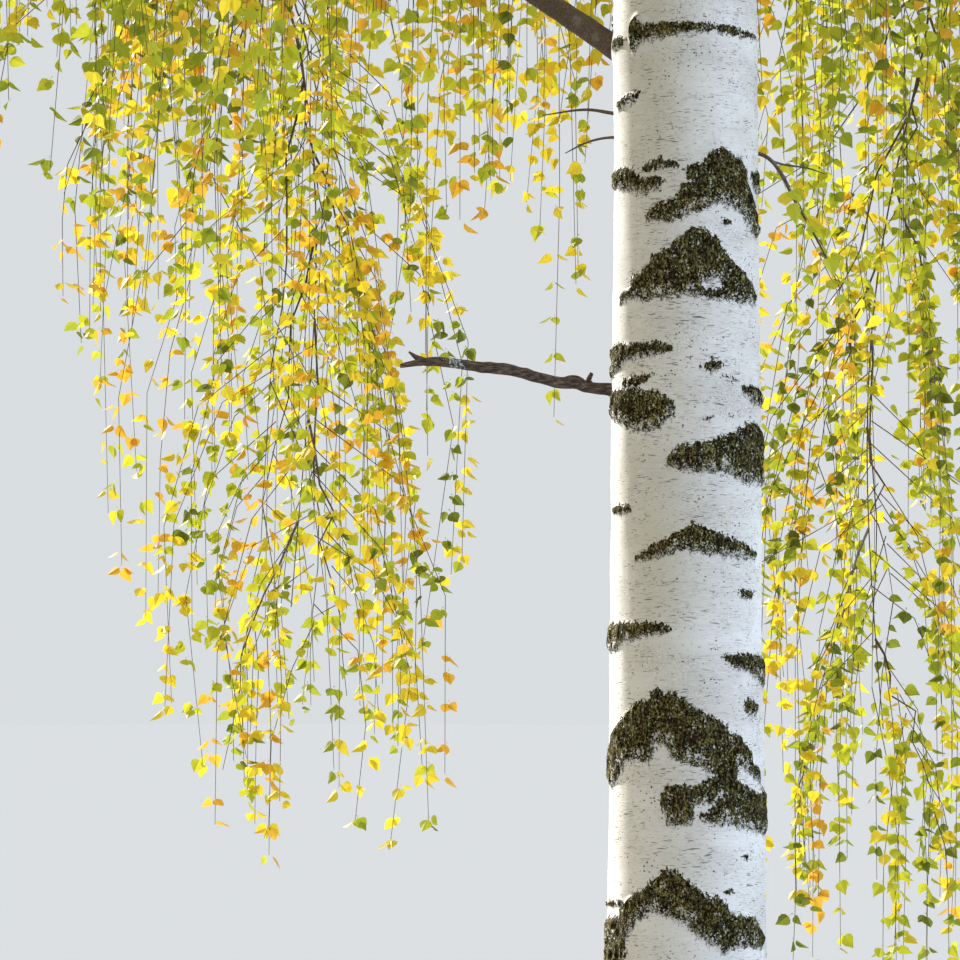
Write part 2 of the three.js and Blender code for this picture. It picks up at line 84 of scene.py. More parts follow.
# The crown's outline, how blunt its masses are, and the room left over the ground, round the trunk and
# between two masses, the last as a share of their half sizes
TREE_HEIGHT = 19.0
CROWN_RADIUS = 3.3
BLUNTNESS = 2.8
GROUND_ROOM = 0.72
TRUNK_ROOM = 0.05
CELL_MARGIN = 0.05
GOLDEN_ANGLE = math.pi * (3 - math.sqrt(5))

# Stretches of bark: name, lowest and highest point, columns round the trunk and rows
TRUNK_BARK = "trunk bark"
STRETCHES = (
    ("bark_foot", 0.0, 0.955, 210, 160),
    ("bark_low", 0.95, 3.055, 210, 420),
    ("bark_middle", 3.05, 8.01, 120, 430),
    ("bark_upper", 8.0, LEADER_TOP, 64, 620),
)

# Cracked bark reaches up to this height, and brown young bark starts where the trunk gets this thin
OLD_BARK_TOP = 0.95
YOUNG_RADIUS = 0.052
YOUNG_FADE = 0.025

# Painted warm shade on the trunk's front left, as in dim light thrown back by yellow leaves: its bearing in
# radians, the height where it ends, and over how many metres it fades
PAINTED_WARM_SHADE_BEARING = -0.44
PAINTED_WARM_SHADE_TOP = 6.5
PAINTED_WARM_SHADE_FADE = 3

# The lower edge of a scar is worn over this many rows of the bark's grid on both sides
WORN_ROWS = 3

# The outlines of scars are drawn in by this share towards a height, and the low ones turned by degrees
DRAWN_IN = 0.0094
DRAWN_TO = 1.35
TURN_HEIGHTS = (1.1, 1.35, 1.6, 2.6)
TURNS = (-4.0, -4.2, -2.0, -1.2)

# Scars with middles between two heights are laid out on the trunk's radius at a third, others on their own
LAID_OUT_FROM = 0.85
LAID_OUT_TO = 3.05
LAID_OUT_AT = 2.0

# The front window, whose scars are given: between two heights, and this many radians to both sides
FRONT_FROM = 0.95
FRONT_TO = 3.0
FRONT_REACH = 1.75

# The healed eye of a lost limb, in degrees and metres
EYE_BEARING = -41
EYE_HEIGHT = 2.907

# Twigs: radii at the root and the tip, sides, rings after the first, and how far their points stray
MAIN_TWIG = (0.0042, 0.0009, 3, 8, 0.012)
FINE_TWIG = (0.0016, 0.0008, 3, 3, 0.006)
LOW_TWIG = (0.0011, 0.0007, 4, 4, 0.001)

# Limbs: how many rings and sides they have, the step in which a bough's root is looked for, and the radii
# at the tips of stems and shoots
BOUGH_RINGS, BOUGH_SIDES = 131, 18
BOUGH_PITCH = 0.0025
STEM_RINGS, STEM_SIDES = 61, 8
SHOOT_RINGS, SHOOT_SIDES = 25, 6
STEM_TIP = 0.0014
SHOOT_TIP = 0.0016

# First seeds of the masses' draws, and of the noise on their stems and shoots
MASS_SEEDS = 1000
STEM_SEEDS = 70
SHOOT_SEEDS = 90

# Leaves below this height have rounder outlines; the skirt's are closer and smaller by these shares
NEAR_LEAVES = 3.4
NEAR_SPACING = 0.7
NEAR_LENGTH = 0.86

# Sprays on a fine twig, leaves in one, and the share of sprays that take their twig's own tint
SPRAYS = 8
SPRAY_LEAVES = 6
TWIGS_OWN_TINT = 0.55

# Shares of the lime, yellow, golden, olive and green tints, and what is added to them on the warmest mass
TINT_SHARES = np.array([0.36, 0.26, 0.05, 0.1, 0.22])
TINT_WARMTH = np.array([0.0, 0.08, 0.08, -0.05, -0.1])

# How long main twigs are and how they lift: on a stem or bough, on the topmost stem, on a rising shoot
STEM_TWIGS = (1.0, 0.25)
TOP_TWIGS = (0.9, -0.2)
SHOOT_TWIGS = (0.6, 0.5)

# The largest angle between two faces that is still shaded as a smooth surface
SHARPEST_SMOOTH = 75

# Tiers of masses: their mean height, unevenness, half height, number, first bearing, step, steepness and
# thickness of the limbs, and whether the masses have boughs of their own
Tier = namedtuple("Tier", "name height uneven tall masses first step rise thick bough")
TIERS = (
    Tier("skirt", 2.95, 0.4, 2.05, 5, 32, 41, 0.55, 0.026, True),
    Tier("lower", 5.8, 2.6, 2.05, 5, 345, 72, 1.0, 0.031, True),
    Tier("middle", 8.75, 2.6, 2.05, 5, 21, 72, 1.25, 0.029, True),
    Tier("upper", 11.6, 2.5, 1.9, 4, 50, 90, 1.45, 0.024, True),
    Tier("high", 14.05, 2.2, 1.65, 4, 5, 90, 1.6, 0.017, False),
    Tier("peak", 16.2, 1.5, 1.45, 3, 40, 120, 2.0, 0.013, False),
)
TALLEST = max(tier.tall for tier in TIERS)

# Heights at which the dead snag and the low shoot leave the trunk
SNAG_HEIGHT = 2.15
SHOOT_HEIGHT = 2.676

# Leaves of the low shoot: length of their twigs, spacing and length, and their tints with their shares
LOW_SPAN = 0.06
LOW_SPACING = 0.03
LOW_LEAF = 0.055
LOW_TINTS = (0, 1, 4)
LOW_SHARES = (0.6, 0.3, 0.1)

# Floor, and the camera: focal length on a sensor 36 mm wide, place, and tilt in degrees from straight down
FLOOR_RADIUS = 450
FLOOR_CORNERS = 96
FOCAL_LENGTH = 178.6
CAMERA_PLACE = (-0.433, -10.0, 1.5)
CAMERA_TILT = 92.75

# Three lamps as suns: name, colour, the property of their strength, spread, tilt and turn in degrees
SUN_TURN = -142
LAMPS = (
    ("low sun", (1.0, 0.94, 0.82), "sun", 9, 62, SUN_TURN),
    ("leaf light", (1.0, 0.82, 0.22), "leaf_light", 70, 70, -90),
    ("open shade", (0.62, 0.8, 1.0), "shade", 70, 66, 78),
)

# The thin beam along the trunk's edge: place, width, length, and spread and tilt in degrees
BEAM_PLACE = (-0.68, 0.63, 4.9)
BEAM_WIDTH = 0.12
BEAM_LENGTH = 9.0
BEAM_SPREAD = 2.5
BEAM_TILT = 66

# Scars on the front of the trunk: outlines as bearings in degrees and heights in millimetres
SCARS = (
    [(-40, 2931), (-31, 2942), (-12, 2944), (10, 2942), (37, 2938), (62, 2931), (78, 2923), (54, 2917),
     (23, 2923), (2, 2919), (-18, 2912), (-33, 2904)],
    [(-87, 2925), (-65, 2925), (-55, 2914), (-63, 2898), (-87, 2898)],
    [(-44, 2963), (-40, 2950), (-37, 2923), (-39, 2898), (-44, 2879), (-49, 2896), (-51, 2923),
     (-49, 2948)],
    [(-72, 2784), (-55, 2797), (-39, 2799), (-40, 2788), (-52, 2776), (-67, 2765)],
    [(-37, 2635), (-28, 2650), (-21, 2658), (-14, 2650), (-6, 2644), (-8, 2637), (-18, 2637), (-27, 2631),
     (-35, 2627)],
    [(-85, 2642), (-56, 2644), (-46, 2633), (-39, 2619), (-24, 2619), (-17, 2608), (-22, 2591),
     (-35, 2581), (-46, 2591), (-56, 2592), (-66, 2600), (-87, 2602)],
    [(29, 2683), (38, 2668), (48, 2655), (55, 2635), (56, 2610), (66, 2577), (74, 2552), (87, 2512),
     (71, 2494), (60, 2509), (52, 2534), (39, 2552), (28, 2563), (19, 2556), (12, 2545), (5, 2538),
     (-4, 2527), (-28, 2520), (-34, 2538), (-24, 2560), (-14, 2570), (-7, 2581), (-4, 2603), (4, 2606),
     (-3, 2628), (2, 2639), (13, 2650), (19, 2668)],
    [(60, 2629), (77, 2643), (87, 2635), (87, 2592), (69, 2588), (61, 2610)],
    [(25, 2521), (31, 2530), (39, 2523), (34, 2516)],
    [(11, 2514), (15, 2505), (26, 2484), (29, 2465), (41, 2437), (56, 2408), (70, 2379), (70, 2353),
     (54, 2357), (44, 2353), (34, 2359), (22, 2362), (8, 2366), (-3, 2368), (-14, 2362), (-24, 2359),
     (-37, 2357), (-46, 2366), (-62, 2353), (-63, 2375), (-48, 2390), (-47, 2408), (-38, 2415),
     (-30, 2437), (-28, 2451), (-14, 2469), (-8, 2487), (4, 2505)],
    [(-87, 2270), (-54, 2272), (-35, 2268), (-16, 2265), (-8, 2254), (-19, 2245), (-29, 2243), (-52, 2236),
     (-61, 2223), (-75, 2207), (-87, 2190)],
    [(-58, 2194), (-44, 2199), (-27, 2202), (-32, 2187), (-46, 2176), (-61, 2182)],
    [(8, 2217), (13, 2222), (20, 2235), (30, 2223), (26, 2214), (17, 2206)],
    [(28, 2198), (35, 2198), (42, 2189), (37, 2188)],
    [(44, 2178), (58, 2184), (77, 2176), (87, 2158), (87, 2140), (60, 2144), (49, 2165)],
    [(-87, 2173), (-49, 2177), (-33, 2171), (-20, 2163), (-10, 2144), (-11, 2112), (-20, 2091),
     (-33, 2081), (-46, 2083), (-58, 2098), (-87, 2119)],
    [(11, 2110), (15, 2114), (19, 2110), (15, 2104)],
    [(-15, 2007), (-14, 2032), (-5, 2049), (5, 2056), (15, 2062), (27, 2070), (39, 2083), (50, 2098),
     (61, 2108), (87, 2083), (87, 2032), (87, 1972), (66, 1974), (50, 1976), (39, 1988), (32, 1997),
     (18, 1995), (5, 1997), (-5, 2001)],
    [(-77, 1928), (-57, 1932), (-46, 1928), (-50, 1915), (-63, 1911), (-76, 1913)],
    [(-44, 1812), (-34, 1833), (-21, 1852), (-10, 1869), (-1, 1881), (5, 1890), (15, 1879), (27, 1867),
     (40, 1856), (54, 1844), (69, 1827), (58, 1816), (39, 1820), (24, 1822), (8, 1829), (-7, 1831),
     (-25, 1816), (-34, 1810)],
    [(41, 1745), (47, 1753), (60, 1747), (57, 1734), (45, 1732)],
    [(-87, 1682), (-52, 1684), (-36, 1684), (-23, 1682), (-10, 1669), (-13, 1661), (-32, 1654),
     (-44, 1644), (-55, 1642), (-68, 1621), (-87, 1623)],
    [(28, 1610), (38, 1615), (56, 1617), (87, 1608), (87, 1577), (87, 1543), (67, 1560), (54, 1577),
     (40, 1585), (31, 1598)],
    [(47, 1516), (55, 1522), (69, 1510), (66, 1492), (57, 1488), (48, 1497)],
    [(-21, 1551), (-16, 1534), (-7, 1536), (-3, 1522), (9, 1503), (20, 1485), (28, 1477), (34, 1453),
     (44, 1441), (58, 1409), (59, 1389), (69, 1377), (72, 1345), (87, 1321), (85, 1236), (59, 1244),
     (45, 1252), (36, 1260), (23, 1260), (14, 1272), (9, 1281), (2, 1260), (-14, 1260), (-14, 1284),
     (-18, 1305), (-14, 1341), (-4, 1345), (6, 1341), (13, 1349), (20, 1361), (14, 1377), (3, 1389),
     (-10, 1401), (-14, 1425), (-21, 1429), (-24, 1397), (-32, 1393), (-49, 1389), (-58, 1361),
     (-71, 1333), (-87, 1350), (-87, 1409), (-72, 1453), (-54, 1485), (-43, 1510), (-29, 1522),
     (-26, 1534)],
    [(43, 1194), (47, 1198), (54, 1192), (47, 1188)],
    [(29, 1122), (34, 1126), (38, 1118), (33, 1114)],
    [(-12, 1180), (-10, 1164), (-6, 1168), (0, 1148), (9, 1132), (16, 1112), (23, 1114), (29, 1096),
     (37, 1072), (58, 1069), (67, 1043), (78, 1023), (70, 995), (53, 1003), (41, 1007), (29, 995),
     (20, 1011), (10, 1027), (6, 1039), (2, 1055), (-13, 1072), (-27, 1076), (-36, 1059), (-45, 1031),
     (-49, 1011), (-47, 968), (-52, 920), (-65, 867), (-87, 856), (-87, 972), (-87, 1019), (-87, 1059),
     (-56, 1068), (-56, 1083), (-46, 1108), (-33, 1124), (-27, 1140), (-18, 1156), (-14, 1168)],
    [(-87, 1098), (-48, 1102), (-48, 1092), (-87, 1083)],
)
# Patches of clean bark inside the larger scars
GAPS = (
    [(13, 2390), (19, 2398), (26, 2400), (29, 2387), (22, 2379), (15, 2381)],
    [(42, 1384), (53, 1369), (77, 1337), (69, 1323), (48, 1342), (41, 1360)],
    [(6, 1295), (13, 1308), (23, 1302), (15, 1285), (9, 1283)],
)


def draw(seed, n):
    """A fixed draw from 0 to 1: the fraction of a large multiple of the sine of two mixed numbers."""
    return (np.sin(seed * 12.9898 + n * 78.233) * 43758.5453) % 1.0


def unit(vectors):
    """The vectors at length 1."""
    return vectors / np.maximum(np.linalg.norm(vectors, axis=-1, keepdims=True), 1e-12)


def ease(share):
    """The share held to 0 to 1 and eased at both ends: three times its square less twice its cube."""
    share = np.clip(share, 0, 1)
    return share * share * (3 - 2 * share)


def axis(height):
    """The trunk's middle line: straight at the foot, then swaying in x and y by sines of the height."""
    height = np.asarray(height, float)
    w = np.maximum(0, height - SWAY_START) / (LEADER_TOP - SWAY_START)
    x = -0.15 * w * np.sin(TAU * w) + 0.06 * w * w
    y = 0.18 * w * np.sin(0.65 * TAU * w)
    return np.stack([x, y, height], -1)


def trunk_radius(height):
    """The trunk's radius: its tip's, and a share of the rest by a power of the height that is left."""
    left = np.maximum(0, (LEADER_TOP - height) / (LEADER_TOP - BREAST_HEIGHT))
    return LEADER_TIP_RADIUS + (BREAST_RADIUS - LEADER_TIP_RADIUS) * left**0.85


def flare(height, angle):
    """The root flare: cosines of the angle from +Y towards +X that die away upwards."""
    turn = math.pi / 2 - angle
    lobes = 0.6 + 0.28 * np.cos(5 * turn + 0.7) + 0.12 * np.cos(2 * turn - 0.9)
    return FLARE_DEPTH * lobes * np.exp(-height / FLARE_HEIGHT)


def crown_radius(height):
    """The crown's radius: the sine of a power of the share of the tree's height, to a power of 0.8."""
    return CROWN_RADIUS * np.sin(math.pi * (height / TREE_HEIGHT) ** 0.62) ** 0.8


def bezier(points, t):
    """Points on Bezier curves of any degree: the corners weighted by the binomial shares of t and 1 - t."""
    corners = np.stack(points, -2)
    degree = corners.shape[-2] - 1
    shares = [math.comb(degree, k) * t**k * (1 - t) ** (degree - k) for k in range(degree + 1)]
    weights = np.stack(shares, -1)
    return np.einsum("...k,...kc->...c", weights, corners) if t.ndim > 1 else weights @ corners


def along(curves, t):
    """Points on many curves at once, each at its own row of shares."""
    return bezier([corner[:, None] for corner in curves], t)


def through(points, steps):
    """A smooth line through points: between two, the Catmull-Rom cubic of them and their neighbours."""
    points = np.asarray(points, float)
    padded = np.vstack([2 * points[0] - points[1], points, 2 * points[-1] - points[-2]])
    place = np.linspace(0, len(points) - 1, steps + 1)
    span = np.minimum(place.astype(int), len(points) - 2)
    t = (place - span)[:, None]
    a, b, c, d = (padded[span + k] for k in range(4))
    square = 2 * a - 5 * b + 4 * c - d
    cube = 3 * b - a - 3 * c + d
    return 0.5 * (2 * b + (c - a) * t + square * t**2 + cube * t**3)


def carry(path, radius, sides, aside):
    """Rings of a round profile carried along paths: at each point, `radius` times the cosine of the turn
    across the path and the sine of it round, where across is the given side made square to the path's
    tangent."""
    tangent = unit(np.gradient(path, axis=-2))
    across = unit(aside - (aside * tangent).sum(-1, keepdims=True) * tangent)
    normal = np.cross(tangent, across)
    turn = (np.arange(sides) * TAU / sides)[:, None]
    if np.ndim(radius) < path.ndim:
        radius = radius[..., None]
    spokes = np.cos(turn) * across[..., None, :] + np.sin(turn) * normal[..., None, :]
    return path[..., None, :] + radius[..., None] * spokes


def tubes(rings):
    """Points and triangles of one closed tube or of many, from an array of rings, sides and coordinates, or
    of tubes before them: a wall between rings that follow each other, and a fan round the middle of each
    end ring."""
    rings = rings.reshape(-1, *rings.shape[-3:])
    count, steps, sides, _ = rings.shape
    ends = rings[:, [0, -1]].mean(axis=2)
    points = np.concatenate([rings.reshape(count, steps * sides, 3), ends], axis=1)
    ring, side = np.meshgrid(np.arange(steps - 1), np.arange(sides), indexing="ij")
    a = ring * sides + side
    b = ring * sides + (side + 1) % sides
    wall = np.stack([a, b, b + sides, a, b + sides, a + sides], -1).reshape(-1, 3)
    side = np.arange(sides)
    after = (side + 1) % sides
    last = (steps - 1) * sides
    low = np.stack([np.full(sides, steps * sides), after, side], -1)
    high = np.stack([np.full(sides, steps * sides + 1), last + side, last + after], -1)
    one = np.concatenate([wall, low, high])
    faces = one + np.arange(count)[:, None, None] * points.shape[1]
    return points.reshape(-1, 3), faces.reshape(-1, 3)


def around(angle, other):
    """How far the first angle is past the second, from minus half a turn to half a turn."""
    return (angle - other + math.pi) % TAU - math.pi


def grain(angle, height, columns, pitch, seed):
    """Smooth noise from 0 to 1 on bark: seeded numbers at the corners of cells, `columns` round the limb
    and `pitch` tall, eased from one to the next. The columns close on themselves."""
    u = (angle / TAU) % 1.0 * columns
    v = np.maximum(height / pitch, 0)
    column = u.astype(int)
    row = v.astype(int)
    table = np.random.default_rng(seed).random((int(row.max()) + 2, columns))
    across = ease(u - column)
    up = ease(v - row)
    here = column % columns
    beside = (column + 1) % columns
    low = table[row, here] * (1 - across) + table[row, beside] * across
    high = table[row + 1, here] * (1 - across) + table[row + 1, beside] * across
    return low * (1 - up) + high * up


def folded(noise):
    """Noise folded at its middle, so that it runs in ridges."""
    return 1 - np.abs(2 * noise - 1)


def placed(name, data, place=(0, 0, 0), tilt=0, turn=0):
    """A new object of the scene, tilted from straight down and turned about the upright, in degrees."""
    thing = bpy.data.objects.new(name, data)
    thing.location = place
    thing.rotation_euler = (math.radians(tilt), 0, math.radians(turn))
    bpy.context.scene.collection.objects.link(thing)
    return thing


def build(name, points, faces, paints, slot, nodes, tints=None, fields=None, smooth=True):
    """Makes one piece of the tree from points and triangles, and hides the frame's parts that it stands
    for.
    """
    mesh = bpy.data.meshes.new(name)
    mesh.vertices.add(len(points))
    mesh.vertices.foreach_set("co", points.astype(np.float32).ravel())
    mesh.loops.add(faces.size)
    mesh.loops.foreach_set("vertex_index", faces.astype(np.int32).ravel())
    mesh.polygons.add(len(faces))
    mesh.polygons.foreach_set("loop_start", np.arange(0, faces.size, 3, dtype=np.int32))
    for paint in paints:
        mesh.materials.append(paint)
    if tints is not None:
        mesh.polygons.foreach_set("material_index", tints.astype(np.int32))
    mesh.polygons.foreach_set("use_smooth", np.full(len(faces), smooth))
    mesh.update(calc_edges=True)
    for field, values in (fields or {}).items():
        kept = mesh.attributes.new(field, "FLOAT", "POINT")
        kept.data.foreach_set("value", values.astype(np.float32).ravel())
    if smooth:
        mesh.set_sharp_from_angle(angle=math.radians(SHARPEST_SMOOTH))
    piece = placed(name, mesh)
    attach(piece, "root")
    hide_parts(*nodes)
    return piece


class Level:
    """A number that varies over a surface: a socket with which sums, products and steps are written."""

    def __init__(self, paint, socket):
        self.paint = paint
        self.socket = socket

    def math(self, operation, *values):
        inputs = {place: value for place, value in enumerate((self, *values))}
        return self.paint.node("ShaderNodeMath", inputs, {"operation": operation})

    def __add__(self, other):
        return self.math("ADD", other)

    __radd__ = __add__

    def __mul__(self, other):
        return self.math("MULTIPLY", other)

    __rmul__ = __mul__

    def __sub__(self, other):
        return self.math("SUBTRACT", other)

    def __rsub__(self, other):
        return (self * -1.0) + other

    def both(self, other):
        """The smaller of two levels."""
        return self.math("MINIMUM", other)

    def either(self, other):
        """The larger of two levels."""
        return self.math("MAXIMUM", other)

    def rises(self, low, high):
        """0 below low, 1 above high and eased between them; falls instead where low is above high."""
        inputs = {"Value": self, "From Min": low, "From Max": high}
        return self.paint.node("ShaderNodeMapRange", inputs, {"interpolation_type": "SMOOTHSTEP"})


class Paint:
    """A material as it is mixed: each method adds nodes to it and returns what they give."""

    def __init__(self, name):
        self.material = bpy.data.materials.new(name)
        self.material.use_nodes = True
        self.tree = self.material.node_tree
        self.shader = self.tree.nodes["Principled BSDF"]

    def feed(self, socket, value):
        if isinstance(value, Level):
            self.tree.links.new(value.socket, socket)
        else:
            socket.default_value = value

    def node(self, kind, inputs=None, settings=None, output=0):
        """Any node: its settings first, then the values or links of its sockets."""
        made = self.tree.nodes.new(kind)
        for setting, value in (settings or {}).items():
            setattr(made, setting, value)
        for socket, value in (inputs or {}).items():
            self.feed(made.inputs[socket], value)
        return Level(self, made.outputs[output])

    def place(self, *scale):
        """Object coordinates, stretched by three factors."""
        where = self.node("ShaderNodeTexCoord", output="Object")
        return self.node("ShaderNodeVectorMath", {0: where, 1: scale}, {"operation": "MULTIPLY"})

    def noise(self, scale, detail=3.0, roughness=0.55):
        """Noise round 0.5, with so many cells to the metre along each axis."""
        inputs = {"Vector": self.place(*scale), "Scale": 1.0, "Detail": detail, "Roughness": roughness}
        return self.node("ShaderNodeTexNoise", inputs)

    def cells(self, scale):
        """Distance from the nearest of scattered middles, so many to the metre along each axis."""
        return self.node("ShaderNodeTexVoronoi", {"Vector": self.place(*scale), "Scale": 1.0})

    def field(self, name):
        """A value kept on the mesh."""
        return self.node("ShaderNodeAttribute", None, {"attribute_name": name}, "Fac")

    def mix(self, share, first, second):
        """A colour between two, by a share."""
        made = self.tree.nodes.new("ShaderNodeMix")
        made.data_type = "RGBA"
        for socket, value in ((made.inputs[0], share), (made.inputs[6], first), (made.inputs[7], second)):
            self.feed(socket, value if isinstance(value, (Level, float)) else (*value, 1.0)[:4])
        return Level(self, made.outputs[2])

    def layers(self, colour, *layers):
        """A colour with others laid over it in turn, each by its share."""
        for share, over in layers:
            colour = self.mix(share, colour, over)
        return colour

    def relief(self, height, distance):
        """Normals bent by a height, in metres of full relief."""
        inputs = {"Height": height, "Distance": distance, "Strength": 1.0}
        self.finish_with("Normal", self.node("ShaderNodeBump", inputs))

    def finish_with(self, socket, value):
        self.feed(self.shader.inputs[socket], value)


def white_bark_paint(bark):
    """Papery bark: near white with faint growth lines, thin dark pores that run round the trunk, speckled
    grey patches, and rough scars whose ragged edges follow the mark field of the mesh. A scar is black,
    brown and olive in grains and upright fibres, with flecks of paper left in it, most where the worn field
    shows its lower edge. Painted warm shade, a field kept on the mesh, makes the paper darker and more
    yellow and the scars warmer on the front left, as in dim light thrown back by yellow leaves."""
    paint = Paint("white birch bark")
    mark = paint.field("mark")
    worn = paint.field("worn")
    ragged = paint.noise((75, 75, 62), 5, 0.7) - 0.5
    teeth = paint.noise((210, 210, 85), 3, 0.7) - 0.5
    # Painted warm shade: a field that marks the front left, where dim light is thrown back by yellow leaves
    film = paint.field("film")
    fibre = paint.noise((190, 190, 105), 3, 0.65)
    grit = paint.noise((225, 225, 200), 3, 0.7)
    clod = paint.noise((62, 62, 42), 3, 0.6)
    edge = (mark + ragged * 4.2 + teeth * 2.6 + worn * (grit - 0.5) * 4.5).both(mark + 1.1)
    flecks = (grit * 0.6 + clod * 0.4 + worn * 0.06).rises(0.582, 0.622)
    scar = edge.rises(-0.04, 0.08) * (1.0 - flecks * 0.9)

    rings = paint.noise((7, 7, 330), 4, 0.75)
    cloud = paint.noise((5, 5, 8), 3)
    pale = paint.noise((45, 45, 420), 3, 0.7).rises(0.54, 0.68)
    patch = paint.noise((8, 8, 12), 2).rises(0.5, 0.64)
    speckle = paint.noise((260, 260, 330), 3, 0.75).rises(0.52, 0.6)

    near = (edge + 1.5).rises(0.0, 1.4)
    beside = (mark + 2.0).rises(0.0, 1.6)
    many = (paint.noise((9, 9, 16), 2) + beside * 0.17).rises(0.52, 0.68)
    fine = paint.cells((42, 42, 330)).rises(0.33, 0.2) * many
    long = paint.cells((15, 15, 190)).rises(0.2, 0.12) * many
    dots = paint.cells((90, 90, 130)).rises(0.25, 0.14) * paint.noise((16, 16, 16), 2).rises(0.54, 0.68)
    shed = near * paint.noise((110, 110, 260), 3, 0.7).rises(0.6, 0.66)
    bold = paint.noise((22, 22, 70), 2).rises(0.46, 0.62) * 0.75 + 0.22
    pores = (fine * 0.8 * bold).either(long * 0.9 * bold).either(dots).either(shed)
    young = paint.field("young")
    paper = paint.layers(
        bark.paper,
        (cloud.rises(0.3, 0.7), bark.shaded_paper),
        (rings.rises(0.52, 0.72) * 0.45, (0.46, 0.42, 0.37)),
        (pale * 0.5, (0.88, 0.88, 0.88)),
        (patch * speckle * 0.5, (0.22, 0.2, 0.17)),
        # Painted warm shade: the paper darker and more yellow on the front left
        (film * 0.5, (0.46, 0.42, 0.31)),
        (pores, (0.075, 0.055, 0.035)),
        (young, paint.mix(rings, (0.2, 0.11, 0.065), (0.34, 0.24, 0.17))),
    )

    deep = paint.noise((30, 30, 24), 2).rises(0.47, 0.6)
    split = paint.noise((64, 64, 13), 3, 0.6) - 0.5
    crack = split.both(split * -1.0).rises(-0.035, -0.006)
    rough = paint.layers(
        bark.scar,
        (clod.rises(0.42, 0.58), bark.scar_olive),
        (fibre.rises(0.52, 0.62) * 0.85, (0.21, 0.195, 0.05)),
        (worn * 0.4, (0.21, 0.195, 0.07)),
        # Painted warm shade: the scars warmer and a little lighter on the front left, as in light from
        # yellow leaves
        (film * 0.3, (0.21, 0.15, 0.045)),
        (grit.rises(0.56, 0.65) * 0.85, (0.4, 0.38, 0.19)),
        (deep * 0.5, (0.018, 0.015, 0.006)),
        (crack * 0.75, (0.01, 0.008, 0.003)),
        (grit.rises(0.475, 0.42), (0.007, 0.005, 0.002)),
        (fibre.rises(0.465, 0.41), (0.008, 0.006, 0.002)),
    )
    paint.finish_with("Base Color", paint.mix(scar, paper, rough))
    paint.finish_with("Roughness", scar * 0.35 + 0.52 + rings * 0.08)
    lie = rings * 0.1 - pores * 0.2 + edge.rises(-0.1, 0.5) * (grit * 0.8 + fibre * 1.1 - crack * 0.35)
    paint.relief(lie, 0.004)
    paint.shader.inputs["Specular IOR Level"].default_value = 0.06
    return paint.material


def dark_bark_paint():
    """Thin dark bark: red-brown to blackish, with pale pores and a grey bloom."""
    paint = Paint("dark birch bark")
    bloom = paint.noise((26, 26, 26), 4, 0.6)
    fine = paint.noise((300, 300, 300), 4, 0.65)
    pores = paint.cells((150, 150, 150)).rises(0.22, 0.1)
    bark = paint.layers(
        (0.035, 0.022, 0.015),
        (fine.rises(0.3, 0.7), (0.12, 0.075, 0.05)),
        (bloom.rises(0.52, 0.72) * 0.6, (0.22, 0.19, 0.16)),
        (pores * 0.5, (0.36, 0.3, 0.24)),
    )
    paint.finish_with("Base Color", bark)
    paint.finish_with("Roughness", fine * 0.2 + 0.6)
    paint.relief(fine * 0.7 + pores * 0.4, 0.0015)
    return paint.material


def dead_wood_paint():
    """Weathered dead wood: dark brown in long ridges, with grey edges and blue-white crusts of lichen."""
    paint = Paint("weathered dead wood")
    ridge = paint.noise((40, 300, 300), 4, 0.6)
    fine = paint.noise((420, 420, 420), 3)
    crust = paint.field("lichen")
    lichen = (crust + paint.noise((160, 160, 160), 4, 0.65) - 0.5).rises(0.42, 0.5)
    wood = paint.layers(
        (0.022, 0.014, 0.011),
        (ridge.rises(0.38, 0.62), (0.13, 0.085, 0.06)),
        (ridge.rises(0.6, 0.72) * 0.8, (0.27, 0.22, 0.18)),
        (lichen, (0.42, 0.47, 0.46)),
    )
    paint.finish_with("Base Color", wood)
    paint.finish_with("Roughness", fine * 0.15 + 0.75)
    paint.relief(ridge + fine * 0.4 + lichen * 0.5, 0.003)
    return paint.material


def leaf_paint(name, colour, glow):
    """One autumn tint: a satin leaf that lets some light through, warmer than what it throws back."""
    paint = Paint(name)
    tree = paint.tree
    paint.shader.inputs["Base Color"].default_value = (*colour, 1.0)
    paint.shader.inputs["Roughness"].default_value = 0.48
    paint.shader.inputs["Specular IOR Level"].default_value = 0.25
    through_leaf = tree.nodes.new("ShaderNodeBsdfTranslucent")
    through_leaf.inputs["Color"].default_value = (*(min(1.0, part * 1.25) for part in colour), 1.0)
    both = tree.nodes.new("ShaderNodeMixShader")
    both.inputs[0].default_value = glow
    tree.links.new(paint.shader.outputs[0], both.inputs[1])
    tree.links.new(through_leaf.outputs[0], both.inputs[2])
    tree.links.new(both.outputs[0], tree.nodes["Material Output"].inputs["Surface"])
    return paint.material


